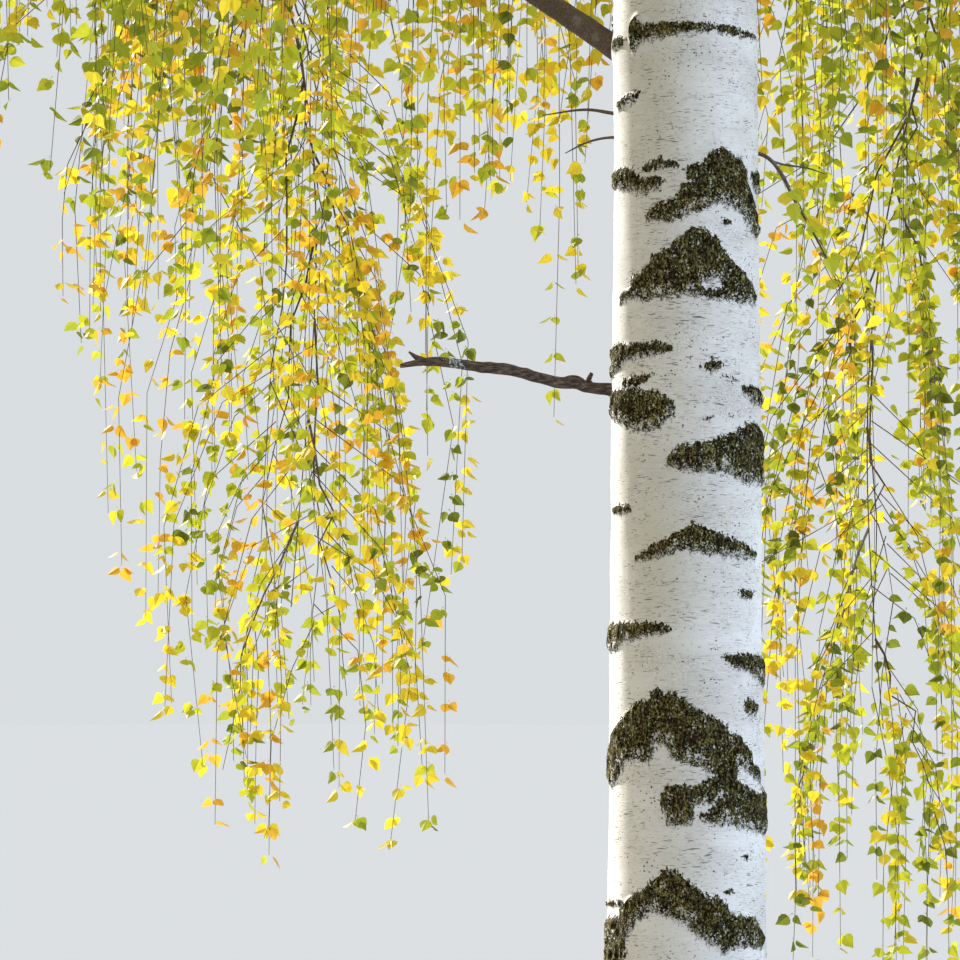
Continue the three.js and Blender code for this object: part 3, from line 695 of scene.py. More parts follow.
class Mass:
    """One mass of foliage: its own space round a middle, turned to face outwards."""

    def __init__(self, seed, tier, index):
        bearing = math.radians(tier.first + tier.step * (index + 0.2 * (draw(seed, 1) - 0.5)))
        scale = 0.95 + 0.1 * draw(seed, 4)
        self.seed = seed
        self.tier = tier.name
        self.rise = tier.rise
        self.thick = tier.thick
        self.bough = tier.bough
        self.outward = np.array([math.cos(bearing), math.sin(bearing), 0.0])
        self.aside = np.array([-math.sin(bearing), math.cos(bearing), 0.0])
        self.out = 0.62 * crown_radius(tier.height) * (0.95 + 0.1 * draw(seed, 2))
        self.deep = 0.42 * scale * crown_radius(tier.height)
        self.wide = 1.1 * scale * math.pi * self.out * tier.step / 360
        self.tall = scale * tier.tall
        stagger = (0.618 * (index + 1) + 0.8) % 1 - 0.5
        self.centre = axis(tier.height + tier.uneven * stagger) + self.out * self.outward
        self.number = seed - 1
        self.first_twig = 0.05 if tier.bough else 0.3
        self.stem_radius = tier.thick * (0.45 if tier.bough else 1)

    def at(self, out, up):
        """The point at two shares of the half sizes, outwards and upwards."""
        return self.centre + out * self.deep * self.outward + up * self.tall * UP

    def bough_corners(self):
        """The bough's cubic: it leaves the trunk steeply and bends out to the mass's upper inner part."""
        slope = 0.35 if self.rise < 1 else 0.8
        heading = unit(self.outward + slope * UP)
        fork = self.centre - 0.55 * self.deep * self.outward + 0.3 * self.tall * UP
        run = self.out - 0.55 * self.deep
        root = axis(fork[2] - self.rise * run)
        bend = root + 0.35 * run * self.outward + 0.5 * self.rise * run * UP
        return root, bend, fork - 0.35 * run * heading, fork

    def stem_corners(self):
        """The stem's cubic: on from the bough, or from the trunk, over the mass's shoulder and down."""
        if self.bough:
            _, _, before, root = self.bough_corners()
            heading = unit(root - before)
            return root, root + 0.6 * self.deep * heading, self.at(0.85, 0.68), self.at(0.5, -0.64)
        root = axis(self.centre[2] + 0.3 * self.tall - self.rise * 0.6 * self.out)
        bend = root + 0.35 * self.out * self.outward + 0.5 * self.tall * UP
        return root, bend, self.at(0.8, 0.72), self.at(0.45, -0.64)


class TopMass(Mass):
    """The mass round the leader's tip, whose stem goes straight up."""

    def __init__(self, seed):
        self.seed = seed
        self.tier = "top"
        self.bough = False
        self.outward = np.array([1.0, 0.0, 0.0])
        self.aside = np.array([0.0, 1.0, 0.0])
        self.deep = 0.72
        self.wide = 0.72
        self.tall = 1.2
        self.centre = np.array([*axis(LEADER_TOP)[:2], 17.8])
        self.number = seed - 1
        self.first_twig = 0.15
        self.stem_radius = LEADER_TIP_RADIUS

    def stem_corners(self):
        root = axis(LEADER_TOP)
        heading = unit(axis(LEADER_TOP) - axis(LEADER_TOP - 0.01))
        tip = self.centre + 0.8 * self.tall * UP + 0.06 * self.outward
        return root, root + 0.4 * self.tall * heading, tip - 0.3 * self.tall * UP, tip


def plan_masses():
    """Every mass from the lowest tier to the top, each with its own seed."""
    masses = []
    for tier in TIERS:
        for index in range(tier.masses):
            masses.append(Mass(len(masses) + 1, tier, index))
    return [*masses, TopMass(len(masses) + 1)]


MASSES = plan_masses()
CENTRES = np.array([mass.centre for mass in MASSES])
OUTWARDS = np.array([mass.outward for mass in MASSES])
ASIDES = np.array([mass.aside for mass in MASSES])
HALVES = np.array([(mass.deep, mass.wide, mass.tall) for mass in MASSES])


def owned(mass, points):
    """Which points are the mass's own: its reach, the root of the sum of the three shares of its half sizes
    to the power of the bluntness, is 1 at most and less than any other mass's, clear of the trunk and of
    the ground."""
    offset = points[..., None, :] - CENTRES
    shares = np.stack([(offset * OUTWARDS).sum(-1), (offset * ASIDES).sum(-1), offset[..., 2]], -1) / HALVES
    reach = (np.abs(shares) ** BLUNTNESS).sum(-1) ** (1 / BLUNTNESS)
    own = reach[..., mass.number].copy()
    reach[..., mass.number] = np.inf
    height = np.clip(points[..., 2], 0, LEADER_TOP)
    apart = np.linalg.norm((points - axis(height))[..., :2], axis=-1)
    clear = (apart > trunk_radius(height) + TRUNK_ROOM) | (points[..., 2] > LEADER_TOP)
    return (own <= 1) & (reach.min(-1) > own + CELL_MARGIN) & (points[..., 2] > GROUND_ROOM) & clear


def leaving(line, share):
    """The first point of a line that is further from the trunk's middle than a share of its radius."""
    apart = np.linalg.norm((line - axis(line[:, 2]))[:, :2], axis=1)
    return int(np.argmax(apart > share * trunk_radius(line[:, 2])))


def limb_roots():
    """Where each limb leaves the trunk's skin: its bearing, height and radius there."""
    found = []
    for mass in MASSES[:-1]:
        corners = mass.bough_corners() if mass.bough else mass.stem_corners()
        line = bezier(corners, np.linspace(0, 0.6, 200))
        leaves = leaving(line, 1.0)
        away = line[leaves] - axis(line[leaves, 2])
        found.append((math.atan2(away[1], away[0]), line[leaves, 2], mass.thick))
    return found


def inside_distance(across, height, outline):
    """How far points lie inside a closed outline, negative outside: the distance to its nearest edge, with
    the sign from how many edges a level ray crosses."""
    start = np.asarray(outline, float)
    end = np.roll(start, -1, axis=0)
    edge = end - start
    x = across[..., None] - start[:, 0]
    y = height[..., None] - start[:, 1]
    share = np.clip((x * edge[:, 0] + y * edge[:, 1]) / (edge**2).sum(-1), 0, 1)
    distance = np.hypot(x - share * edge[:, 0], y - share * edge[:, 1]).min(-1)
    spans = (start[:, 1] > height[..., None]) != (end[:, 1] > height[..., None])
    rise = np.where(edge[:, 1] == 0, 1e-9, edge[:, 1])
    crossing = start[:, 0] + (height[..., None] - start[:, 1]) * edge[:, 0] / rise
    inside = (spans & (across[..., None] < crossing)).sum(-1) % 2 == 1
    return np.where(inside, distance, -distance)


def seeded_scars(density):
    """Outlines of scars where the front's aren't given: arches, lenses and blots, fewer and smaller
    upwards, and an arch over every limb's root. Each is a middle (bearing in radians, height) and an
    outline round it in metres."""
    rng = np.random.default_rng(11)
    scars = []
    height = 0.3
    while height < LEADER_TOP - 0.9:
        size = float(trunk_radius(height)) / BREAST_RADIUS
        bearing = rng.uniform(-math.pi, math.pi)
        height += rng.exponential(1.0) / (density * (0.45 + 0.55 * size))
        kind = rng.random()
        wide = size * rng.uniform(0.02, 0.085) * (1.5 if kind < 0.35 else 1.0)
        if FRONT_FROM < height < FRONT_TO and abs(bearing) < FRONT_REACH:
            continue
        scars.append((bearing, height, scar_outline(rng, kind, wide)))
    for angle, height, thick in limb_roots():
        wide = 0.035 + 2.2 * thick
        scars.append((angle + math.pi / 2, height + 0.5 * wide, scar_outline(rng, 0.1, wide)))
    return scars


def scar_outline(rng, kind, wide):
    """One outline with uneven corners: an arch whose arms fall away from a peak, a lens, or a blot."""
    if kind < 0.35:
        high = wide * rng.uniform(0.5, 0.9)
        thin = wide * rng.uniform(0.0, 0.35)
        top = [(-1, -0.1), (-0.62, 0.32), (-0.28, 0.7), (0, 1), (0.25, 0.72), (0.6, 0.36), (1, -0.1)]
        shape = [(x * wide, y * high) for x, y in top]
        shape += [(0.8 * wide, -0.28 * high), (0.4 * wide, 0.1 * high - 0.3 * thin)]
        shape += [(0, 0.25 * high - thin), (-0.45 * wide, 0.05 * high - 0.3 * thin)]
        shape += [(-0.85 * wide, -0.3 * high)]
    elif kind < 0.8:
        high = wide * rng.uniform(0.12, 0.3)
        turn = np.linspace(0, TAU, 11)[:-1]
        shape = [(wide * math.cos(a), high * math.sin(a) * (1 if math.sin(a) > 0 else 0.6)) for a in turn]
    else:
        high = wide * rng.uniform(0.3, 0.5)
        turn = np.linspace(0, TAU, 9)[:-1]
        shape = [(0.4 * wide * math.cos(a), high * math.sin(a)) for a in turn]
    uneven = rng.uniform(-0.11, 0.11, (len(shape), 2)) * wide
    return np.array(shape) + uneven * (1, 0.6)


def mark_field(bearing, height, density):
    """How far inside a scar each point of the bark lies, in centimetres held to -2 to 2. Bearings are
    turned into arcs on the trunk's radius at the middle of each scar. Clean gaps are cut out of the scars
    that have them."""
    field = np.full(np.broadcast(bearing, height).shape, -2.0)
    radius = float(trunk_radius(LAID_OUT_AT))
    todo = []
    for outlines, sign in ((SCARS, 1), (GAPS, -1)):
        for outline in outlines:
            shape = np.array(outline, float) * (1, 0.001)
            shape[:, 0] += np.interp(shape[:, 1], TURN_HEIGHTS, TURNS)
            shape[:, 1] += DRAWN_IN * (DRAWN_TO - shape[:, 1])
            shape[:, 0] *= math.pi / 180 * radius
            middle = shape.mean(0)
            todo.append((middle[0] / radius, middle[1], shape - middle, sign))
    todo = [*((b, h, shape, 1) for b, h, shape in seeded_scars(density)), *todo]
    for at_bearing, at_height, shape, sign in todo:
        low = at_height + shape[:, 1].min() - 0.02
        high = at_height + shape[:, 1].max() + 0.02
        rows = np.flatnonzero((height[:, 0] > low) & (height[:, 0] < high))
        if not len(rows):
            continue
        laid_out = sign < 0 or LAID_OUT_FROM < at_height < LAID_OUT_TO
        arc = around(bearing, at_bearing) * (radius if laid_out else float(trunk_radius(at_height)))
        here = inside_distance(*np.broadcast_arrays(arc, height[rows] - at_height), shape)
        here = np.clip(here * 100, -2, 2)
        field[rows] = np.maximum(field[rows], here) if sign > 0 else np.minimum(field[rows], -here)
    return field


def bark_skin(low, high, columns, rows, bark):
    """A stretch of the trunk's bark. The radius at a bearing and height is the trunk's and its flare's,
    with slow swellings, scars raised in ridges, plates and cracks on the old foot, and a collar round every
    limb's root. Returns its points, triangles and fields."""
    height = np.linspace(low, high, rows + 1)[:, None]
    angle = (np.arange(columns) * TAU / columns)[None, :]
    bearing = around(angle, -math.pi / 2)
    mark = mark_field(bearing, height, bark.scar_density)
    angle = np.broadcast_to(angle, mark.shape)
    tall = np.broadcast_to(height, mark.shape)

    plate = folded(grain(angle, tall, 34, 0.16, 3))
    crack = folded(grain(angle + 0.9 * grain(angle, tall, 12, 0.1, 5), tall, 26, 0.12, 4))
    old = ease((OLD_BARK_TOP - tall) / OLD_BARK_TOP)
    fingers = 1.2 * (grain(angle, tall, 11, 0.3, 6) - 0.5) + 1.0 * (grain(angle, tall, 31, 0.1, 10) - 0.5)
    foot = (old * 0.95 - 0.38 + (fingers + 0.7 * (crack - 0.5)) * np.minimum(1, 4 * old)) * 2.5
    mark = np.maximum(mark, np.clip(foot, -1, 1))

    scar = ease(np.clip(mark, -1, 1) * 0.7 + 0.25)
    ridge = folded(grain(angle, tall, 96, 0.021, 7))
    swell = 0.006 * (grain(angle, tall, 6, 0.42, 8) - 0.5)
    swell = swell + 0.0024 * (grain(angle, tall, 22, 0.09, 9) - 0.5)
    thick = np.clip(trunk_radius(tall) / BREAST_RADIUS, 0.15, 1)
    relief = swell * thick + bark.relief * thick * scar * (0.25 + 1.1 * ridge - 0.5 * (1 - ridge) ** 3)
    relief = relief + old**1.5 * (0.02 * plate - 0.022 * crack**4) * np.minimum(1, tall / 0.04 + 0.3)
    for root_angle, root_height, root_radius in limb_roots():
        arc = around(angle, root_angle) * trunk_radius(tall)
        ring = np.hypot(arc, (tall - root_height) * 0.7)
        relief = relief + 0.7 * root_radius * np.exp(-((ring / (0.8 * root_radius + 0.012)) ** 2))
    arc = around(bearing, math.radians(EYE_BEARING)) * trunk_radius(tall)
    ring = np.hypot(arc / 0.55, tall - EYE_HEIGHT)
    lip = 0.007 * np.exp(-(((ring - 0.034) / 0.012) ** 2))
    relief = relief + lip - 0.01 * np.exp(-((ring / 0.02) ** 2))

    worn = np.clip(0.6 * (np.roll(mark, -WORN_ROWS, axis=0) - np.roll(mark, WORN_ROWS, axis=0)), 0, 1)
    worn[:WORN_ROWS] = 0
    worn[-WORN_ROWS:] = 0
    radius = trunk_radius(tall) + flare(tall, angle) + relief
    points = axis(tall) + radius[..., None] * np.stack([np.cos(angle), np.sin(angle), 0 * angle], -1)
    points, faces = tubes(points)
    young = ease((YOUNG_RADIUS - trunk_radius(tall)) / YOUNG_FADE)
    # Painted warm shade on the front left, fading out upwards and uneven in strength
    film = np.clip(np.cos(bearing - PAINTED_WARM_SHADE_BEARING), 0, 1) ** 6 * ease((PAINTED_WARM_SHADE_TOP - tall) / PAINTED_WARM_SHADE_FADE)
    film = film * (0.6 + 0.8 * grain(angle, tall, 9, 0.3, 12))
    fields = {"mark": mark, "worn": worn, "young": young, "film": film}
    return points, faces, {name: np.append(values.ravel(), [0.0, 0.0]) for name, values in fields.items()}


def limb_line(mass, corners, t, stray):
    """Points on a limb's cubic, strayed to both sides and in and out by two slow sines of the share along
    it, which grow from nothing at its root."""
    phase = TAU * draw(mass.seed, 40)
    reach = stray * 0.1 * mass.deep * np.maximum(t, 0) ** 0.8
    side = (reach * np.sin(1.4 * TAU * t + phase))[..., None] * mass.aside
    out = (0.7 * reach * np.sin(2.1 * TAU * t + 2 * phase))[..., None] * mass.outward
    return bezier(corners, t) + side + out


def unrolled(path, sides):
    """A limb's skin laid flat: the turn of every side, and the length along the path of every ring."""
    length = np.append(0, np.cumsum(np.linalg.norm(np.diff(path, axis=0), axis=1)))[:, None]
    return np.broadcast_to((np.arange(sides) * TAU / sides)[None, :], (len(path), sides)), length


def limb_skin(path, base, tip, sides, aside, seed, power=1.2):
    """A limb along a path: round rings whose radius falls from base to tip as the share left to a power,
    roughened by two sizes of smooth noise."""
    share = np.linspace(0, 1, len(path))
    angle, length = unrolled(path, sides)
    knots = 0.1 * (grain(angle, length, 5, 0.11, seed) - 0.5)
    wrinkles = 0.08 * (grain(angle, length, 11, 0.02, seed + 1) - 0.5)
    radius = (tip + (base - tip) * (1 - share) ** power)[:, None] * (1 + knots + wrinkles)
    return carry(path, radius, sides, aside)


def joined(parts):
    """Points and triangles of several parts as one."""
    offsets = np.cumsum([0] + [len(points) for points, _ in parts])
    points = np.concatenate([points for points, _ in parts])
    return points, np.concatenate([faces + offset for (_, faces), offset in zip(parts, offsets)])


def rising_shoots(mass, rng):
    """Slimmer shoots that leave the first half of the mass's stem and climb into the upper part of its
    space, as corners of cubics. They end high, at seeded shares of the half sizes, and nod a little at the
    tip. Those that would leave the mass's space end lower."""
    shoots = []
    for k in range(3 if mass.bough else 2):
        root = limb_line(mass, mass.stem_corners(), np.array([mass.first_twig + 0.06 + 0.16 * k]), 1.0)[0]
        for height in (0.93, 0.84, 0.74, 0.62):
            across = (0.62 * (-1) ** k + rng.uniform(-0.2, 0.2)) * mass.wide
            end = mass.at(rng.uniform(-0.5, 0.45), height) + across * mass.aside
            if owned(mass, end[None])[0]:
                break
        else:
            continue
        climb = end - root
        first = root + 0.4 * np.array([climb[0], climb[1], 0.7 * climb[2]])
        second = end - 0.3 * np.array([0.9 * climb[0], 0.9 * climb[1], 0.35 * climb[2]])
        shoots.append((root, first, second, end))
    return shoots


def main_twigs(mass, limb, stray, first, count, scale, lift):
    """The mass's main twigs on a limb, as corners of parabolas. They spring from it by the golden angle and
    crowd towards its tip; each goes out, or on along the limb where that hangs, sags by its own length, and
    takes the longest of six lengths whose end is the mass's own. Those that find none are left out."""
    i = np.arange(count)
    t = first + (0.99 - first) * ((i + 0.5) / count) ** 0.75
    turn = GOLDEN_ANGLE * i + TAU * draw(mass.seed, 11)
    root = limb_line(mass, limb, t, stray)
    onward = unit(limb_line(mass, limb, t + 0.01, stray) - limb_line(mass, limb, t - 0.01, stray))
    sideways = np.cos(turn)[:, None] * mass.outward + np.sin(turn)[:, None] * mass.aside
    hangs = np.clip(-onward[:, 2:], 0, 1)
    lift = (lift + 0.5 * draw(mass.seed, 500 + i)[:, None]) * (1 - hangs)
    heading = unit((1 - 0.5 * hangs) * sideways + (0.3 + 0.8 * hangs) * onward + lift * UP)
    wish = scale * np.maximum(mass.wide, 0.75 * mass.deep) * (0.5 + 0.5 * draw(mass.seed, 20 + i))
    wish = wish * (1 - 0.3 * hangs[:, 0]) * (1 - 0.65 * t * np.clip(onward[:, 2], 0, 1))
    shares = np.array([1, 0.85, 0.7, 0.55, 0.4, 0.28])
    length = wish[:, None] * shares
    weep = 0.3 + 0.8 * draw(mass.seed, 300 + i)[:, None]
    end = root[:, None] + length[..., None] * (heading[:, None] - (weep * UP)[:, None])
    fits = owned(mass, end) & owned(mass, root[:, None] + 0.6 * length[..., None] * heading[:, None])
    best = fits.argmax(1)
    keep = fits.any(1)
    length = length[i, best][keep]
    root = root[keep]
    heading = heading[keep]
    end = end[i, best][keep]
    return root, root + 0.6 * length[:, None] * heading, end, length


def hanging_twigs(mass, corners, length, count, rng):
    """Fine twigs along every main twig: each leaves it sideways, bends over and hangs, with the longest of
    four lengths whose middle and end are the mass's own. Those that find none are left out."""
    twigs = len(length)
    u = (np.arange(count) + rng.random((twigs, count))) / count
    u = 0.1 + 0.9 * u
    u[:, -1] = 1.0
    root = along(corners, u)
    onward = unit(along(corners, np.minimum(u + 0.02, 1.02)) - root)
    level = unit(np.cross(UP, onward))
    side = np.where((np.arange(count) % 2)[None, :] > 0, 1.0, -1.0) * rng.uniform(0.3, 1.1, u.shape)
    side[:, -1] *= 0.2
    heading = unit(onward * rng.uniform(0.4, 0.9, (*u.shape, 1)) + side[..., None] * level + 0.15 * UP)
    wish = rng.uniform(0.3, 1.25, u.shape) * (0.45 + 0.55 * mass.tall / TALLEST)
    wish[:, -1] *= 1.3
    shares = np.array([1, 0.75, 0.55, 0.38])
    span = wish[..., None] * shares
    slack = rng.uniform(0.25, 0.5, u.shape)[..., None, None]
    fall = slack * heading[:, :, None] - 0.88 * UP
    end = root[:, :, None] + span[..., None] * fall
    middle = root[:, :, None] + 0.25 * span[..., None] * (heading[:, :, None] + 0.1 * UP + fall)
    fits = owned(mass, end) & owned(mass, middle)
    best = fits.argmax(-1)[..., None]
    keep = fits.any(-1)
    span = np.take_along_axis(span, best, -1)[..., 0][keep]
    end = np.take_along_axis(end, best[..., None], -2)[..., 0, :][keep]
    root = root[keep]
    bend = root + 0.5 * span[:, None] * (heading[keep] + 0.1 * UP)
    return root, bend, end, span


# Outlines of a far and a near leaf, as shares of its length along the heading, across it and along its face
LEAF = np.array([(0, 0, 0), (0.3, 0.4, 0.1), (0.64, 0.27, 0.07), (1, 0, -0.05), (0.64, -0.27, 0.07),
                 (0.3, -0.4, 0.1)])
LEAF_FACES = np.array([(0, k, k + 1) for k in range(1, 5)])
NEAR_LEAF = np.array([(0, 0.02, 0), (0, -0.02, 0), (0.26, 0, -0.02), (0.29, 0.2, 0.03), (0.43, 0.35, 0.05),
                      (0.63, 0.32, 0.01), (0.84, 0.15, -0.09), (1.06, 0, -0.22), (0.84, -0.15, -0.09),
                      (0.63, -0.32, 0.01), (0.43, -0.35, 0.05), (0.29, -0.2, 0.03)])
NEAR_FACES = np.array([(0, 1, 2), *((2, k, k + 1) for k in range(3, 11))])


def leaf_stand(lines, spans, spacing, size, rng):
    """How leaves stand in pairs along fine twigs: where each is rooted, its heading, drooping from the
    twig, the direction across it, its length, and the number of its spray, of which a twig has a few."""
    most = int(spans.max() / spacing) + 2
    step = np.arange(most)
    pair = step // 2
    place = pair[None, :] + rng.uniform(0.1, 0.9, (len(spans), most))[:, pair]
    share = (0.04 + 2 * spacing * place) / spans[:, None]
    share[:, 0] = 1.0
    kept = share <= 1
    at = along(lines, np.minimum(share, 1))
    onward = unit(along(lines, np.minimum(share + 0.05, 1.05)) - at)
    swing = rng.uniform(0, TAU, (len(spans), 1)) + math.pi * (pair % 2)[None, :]
    swing = swing + (step % 2 - 0.5)[None, :] * 1.7 + rng.normal(0, 0.5, share.shape)
    level = np.stack([np.cos(swing), np.sin(swing), 0 * swing], -1)
    out = rng.uniform(0.4, 1.1, (*share.shape, 1))
    heading = unit(0.35 * onward + out * level - rng.uniform(0.15, 1.0, (*share.shape, 1)) * UP)
    across = unit(np.cross(heading, UP + rng.normal(0, 0.75, heading.shape)))
    length = size * rng.uniform(0.68, 1.12, share.shape)
    spray = np.arange(len(spans))[:, None] * SPRAYS + np.minimum(step // SPRAY_LEAVES, SPRAYS - 1)[None, :]
    return tuple(values[kept] for values in (at, heading, across, length, spray))


def blades_of(at, heading, across, length, shape, faces):
    """Leaves as one mesh: the outline's three shares, along the heading, across it and along the face,
    times the leaf's length."""
    sides = (heading, across, np.cross(heading, across))
    spread = sum(shape[:, k, None] * sides[k][:, None] for k in range(3))
    corners = at[:, None] + length[:, None, None] * spread
    offsets = np.arange(len(at)) * len(shape)
    return corners.reshape(-1, 3), (faces + offsets[:, None, None]).reshape(-1, 3)


def leaf_cloud(mass, lines, spans, crown, rng):
    """The leaves of a mass, far and near: two meshes, each with the number of the spray that each face is
    in. Near leaves have rounded outlines and stalks. A leaf whose tip would leave the space is dropped."""
    low = mass.tier == "skirt"
    spacing = crown.leaf_spacing * (NEAR_SPACING if low else 1.0)
    size = crown.leaf_length * (NEAR_LENGTH if low else 1.0)
    at, heading, across, length, spray = leaf_stand(lines, spans, spacing, size, rng)
    kept = owned(mass, at + length[:, None] * heading)
    near = at[:, 2] < NEAR_LEAVES
    for chosen, shape, faces in ((kept & ~near, LEAF, LEAF_FACES), (kept & near, NEAR_LEAF, NEAR_FACES)):
        parts = (at[chosen], heading[chosen], across[chosen], length[chosen])
        yield *blades_of(*parts, shape, faces), np.repeat(spray[chosen], len(faces))


def twig_wood(root, bend, end, base, tip, sides, steps, wave, rng):
    """Twigs along parabolas whose inner points stray a little, as thin tubes that taper to their tips."""
    t = np.linspace(0, 1, steps + 1)[None, :]
    path = along((root, bend, end), np.broadcast_to(t, (len(root), steps + 1)))
    stray = wave * np.sin(math.pi * t)[..., None] * rng.normal(0, 1, path.shape)
    aside = unit(np.cross(bend - root, end - bend) + 1e-6)
    radius = np.broadcast_to(base + (tip - base) * t**0.8, path.shape[:2])
    return tubes(carry(path + stray, radius, sides, aside[:, None, :]))


def grow_tier(tier, crown, paints, bark_paint):
    """The foliage of every mass in a tier: one piece of twigs, one of far leaves and, where it hangs low,
    pieces of near leaves, which alternate masses share so that none gets too large."""
    wood = []
    blades = ([], [], [])
    tints = ([], [], [])
    masses = [mass for mass in MASSES if mass.tier == tier]
    for mass in masses:
        rng = np.random.default_rng(MASS_SEEDS + mass.seed)
        number = crown.main_twigs
        stem = mass.stem_corners()
        top = mass.tier == "top"
        count = number if mass.bough or top else number * 3 // 4
        scale, lift = TOP_TWIGS if top else STEM_TWIGS
        groups = [main_twigs(mass, stem, 1.0, mass.first_twig, count, scale, lift)]
        if mass.bough:
            groups.append(main_twigs(mass, mass.bough_corners(), 0.0, 0.35, number // 3, *STEM_TWIGS))
        shoots = [] if top else rising_shoots(mass, rng)
        for shoot in shoots:
            groups.append(main_twigs(mass, shoot, 0.5, 0.25, number // 3, *SHOOT_TWIGS))
        *line, length = (np.concatenate(group) for group in zip(*groups))
        *lines, spans = hanging_twigs(mass, line, length, crown.fine_twigs, rng)
        path = limb_line(mass, stem, np.linspace(0, 1, STEM_RINGS), 1.0)
        seed = STEM_SEEDS + mass.seed
        wood.append(tubes(limb_skin(path, mass.stem_radius, STEM_TIP, STEM_SIDES, mass.aside, seed, 1.6)))
        for k, shoot in enumerate(shoots):
            path = limb_line(mass, shoot, np.linspace(0, 1, SHOOT_RINGS), 0.5)
            seed = SHOOT_SEEDS + mass.seed + k
            skin = limb_skin(path, 0.5 * mass.stem_radius, SHOOT_TIP, SHOOT_SIDES, mass.aside, seed)
            wood.append(tubes(skin))
        wood.append(twig_wood(*line, *MAIN_TWIG, rng))
        wood.append(twig_wood(*lines, *FINE_TWIG, rng))
        shares = TINT_SHARES + draw(mass.seed, 77) * TINT_WARMTH
        shares = shares / shares.sum()
        own = np.repeat(rng.choice(len(shares), len(spans), p=shares), SPRAYS)
        other = rng.random(len(own)) >= TWIGS_OWN_TINT
        tint = np.where(other, rng.choice(len(shares), len(own), p=shares), own)
        far, near = leaf_cloud(mass, lines, spans, crown, rng)
        for place, (points, faces, spray) in ((0, far), (1 + mass.number % 2, near)):
            blades[place].append((points, faces))
            tints[place].append(tint[spray])
    nodes = [node for node in NODES if node.startswith(tier + "_leaves")]
    points, faces = joined(wood)
    build(f"{tier}_twigs", points, faces, [bark_paint], "dark_bark", nodes)
    names = (f"{tier}_leaves_dress", f"{tier}_near_leaves_1", f"{tier}_near_leaves_2")
    for name, parts, tint in zip(names, blades, tints):
        points, faces = joined(parts) if parts else (None, ())
        if len(faces):
            build(name, points, faces, paints, "foliage", nodes, tints=np.concatenate(tint), smooth=False)


# Materials made so far, by name
SHARED = {}


def shared(name, make, *values):
    """A material that several pieces share, made once."""
    if name not in SHARED:
        SHARED[name] = make(*values)
    return SHARED[name]


TINT = {"subtype": "COLOR", "size": 3}
DISTANCE = {"subtype": "DISTANCE", "unit": "LENGTH"}


class BirchBark(bpy.types.PropertyGroup):
    """What a user may change on the trunk."""

    paper: bpy.props.FloatVectorProperty(
        name="Paper", description="Colour of clean white bark", default=(0.745, 0.735, 0.74), **TINT)
    shaded_paper: bpy.props.FloatVectorProperty(
        name="Shaded paper", description="Colour of greyer clouds in the bark", default=(0.6, 0.575, 0.56),
        **TINT)
    scar: bpy.props.FloatVectorProperty(
        name="Scar", description="Colour of the rough scars", default=(0.062, 0.043, 0.019), **TINT)
    scar_olive: bpy.props.FloatVectorProperty(
        name="Olive tinge", description="Colour of algae in the scars", default=(0.1, 0.094, 0.031), **TINT)
    scar_density: bpy.props.FloatProperty(
        name="Scars per metre", description="Scars on a metre of trunk where the front's own aren't given",
        default=17.0, min=0.0, max=60.0)
    relief: bpy.props.FloatProperty(
        name="Scar relief", description="How far rough scars stand out", default=0.006, min=0.0, max=0.02,
        **DISTANCE)


class BirchCrown(bpy.types.PropertyGroup):
    """What a user may change in the foliage."""

    main_twigs: bpy.props.IntProperty(
        name="Main twigs", description="Twigs on the stem of one large mass", default=18, min=6, max=60)
    fine_twigs: bpy.props.IntProperty(
        name="Fine twigs", description="Hanging twigs on one main twig", default=12, min=2, max=40)
    leaf_length: bpy.props.FloatProperty(
        name="Leaf length", description="Length of a middling leaf", default=0.055, min=0.02, max=0.12,
        **DISTANCE)
    leaf_spacing: bpy.props.FloatProperty(
        name="Leaf spacing", description="From one leaf to the next along a fine twig", default=0.036,
        min=0.01, max=0.2, **DISTANCE)
    glow: bpy.props.FloatProperty(
        name="Glow", description="Share of light that passes through a leaf", default=0.45, min=0.0,
        max=1.0, subtype="FACTOR")
    lime: bpy.props.FloatVectorProperty(
        name="Lime", description="Tint of most leaves", default=(0.475, 0.49, 0.033), **TINT)
    yellow: bpy.props.FloatVectorProperty(
        name="Yellow", description="Tint of leaves further turned", default=(0.69, 0.55, 0.037), **TINT)
    golden: bpy.props.FloatVectorProperty(
        name="Golden", description="Tint of leaves about to fall", default=(0.72, 0.42, 0.04), **TINT)
    olive: bpy.props.FloatVectorProperty(
        name="Olive", description="Tint of leaves still in summer green", default=(0.16, 0.192, 0.02),
        **TINT)
    green: bpy.props.FloatVectorProperty(
        name="Green", description="Tint between green and lime", default=(0.312, 0.36, 0.028), **TINT)


class BirchStage(bpy.types.PropertyGroup):
    """What a user may change round the tree."""

    sun: bpy.props.FloatProperty(
        name="Sun", description="Strength of the low sun from behind on the left", default=7.5, min=0.0,
        max=50.0)
    edge: bpy.props.FloatProperty(
        name="Edge light", default=9.0, min=0.0, max=100.0,
        description="Power of the sunbeam that slips past the leaves and along the trunk's edge")
    shade: bpy.props.FloatProperty(
        name="Open shade", description="Strength of the cool light from the right", default=2.75, min=0.0,
        max=10.0)
    leaf_light: bpy.props.FloatProperty(
        name="Leaf light", description="Strength of the warm light that leaves on the left throw back",
        default=1.0, min=0.0, max=10.0)
    sky: bpy.props.FloatProperty(
        name="Sky", description="Strength of the soft light from all sides", default=0.75, min=0.0,
        max=10.0)
    floor: bpy.props.FloatVectorProperty(
        name="Floor", description="Colour of the pale floor", default=(0.331, 0.343, 0.372), **TINT)


def leaf_paints(crown):
    """The five autumn tints, in the order in which sprays draw them."""
    tints = (("lime leaf", crown.lime), ("yellow leaf", crown.yellow), ("golden leaf", crown.golden),
             ("olive leaf", crown.olive), ("green leaf", crown.green))
    return [shared(name, leaf_paint, name, tuple(colour), crown.glow) for name, colour in tints]


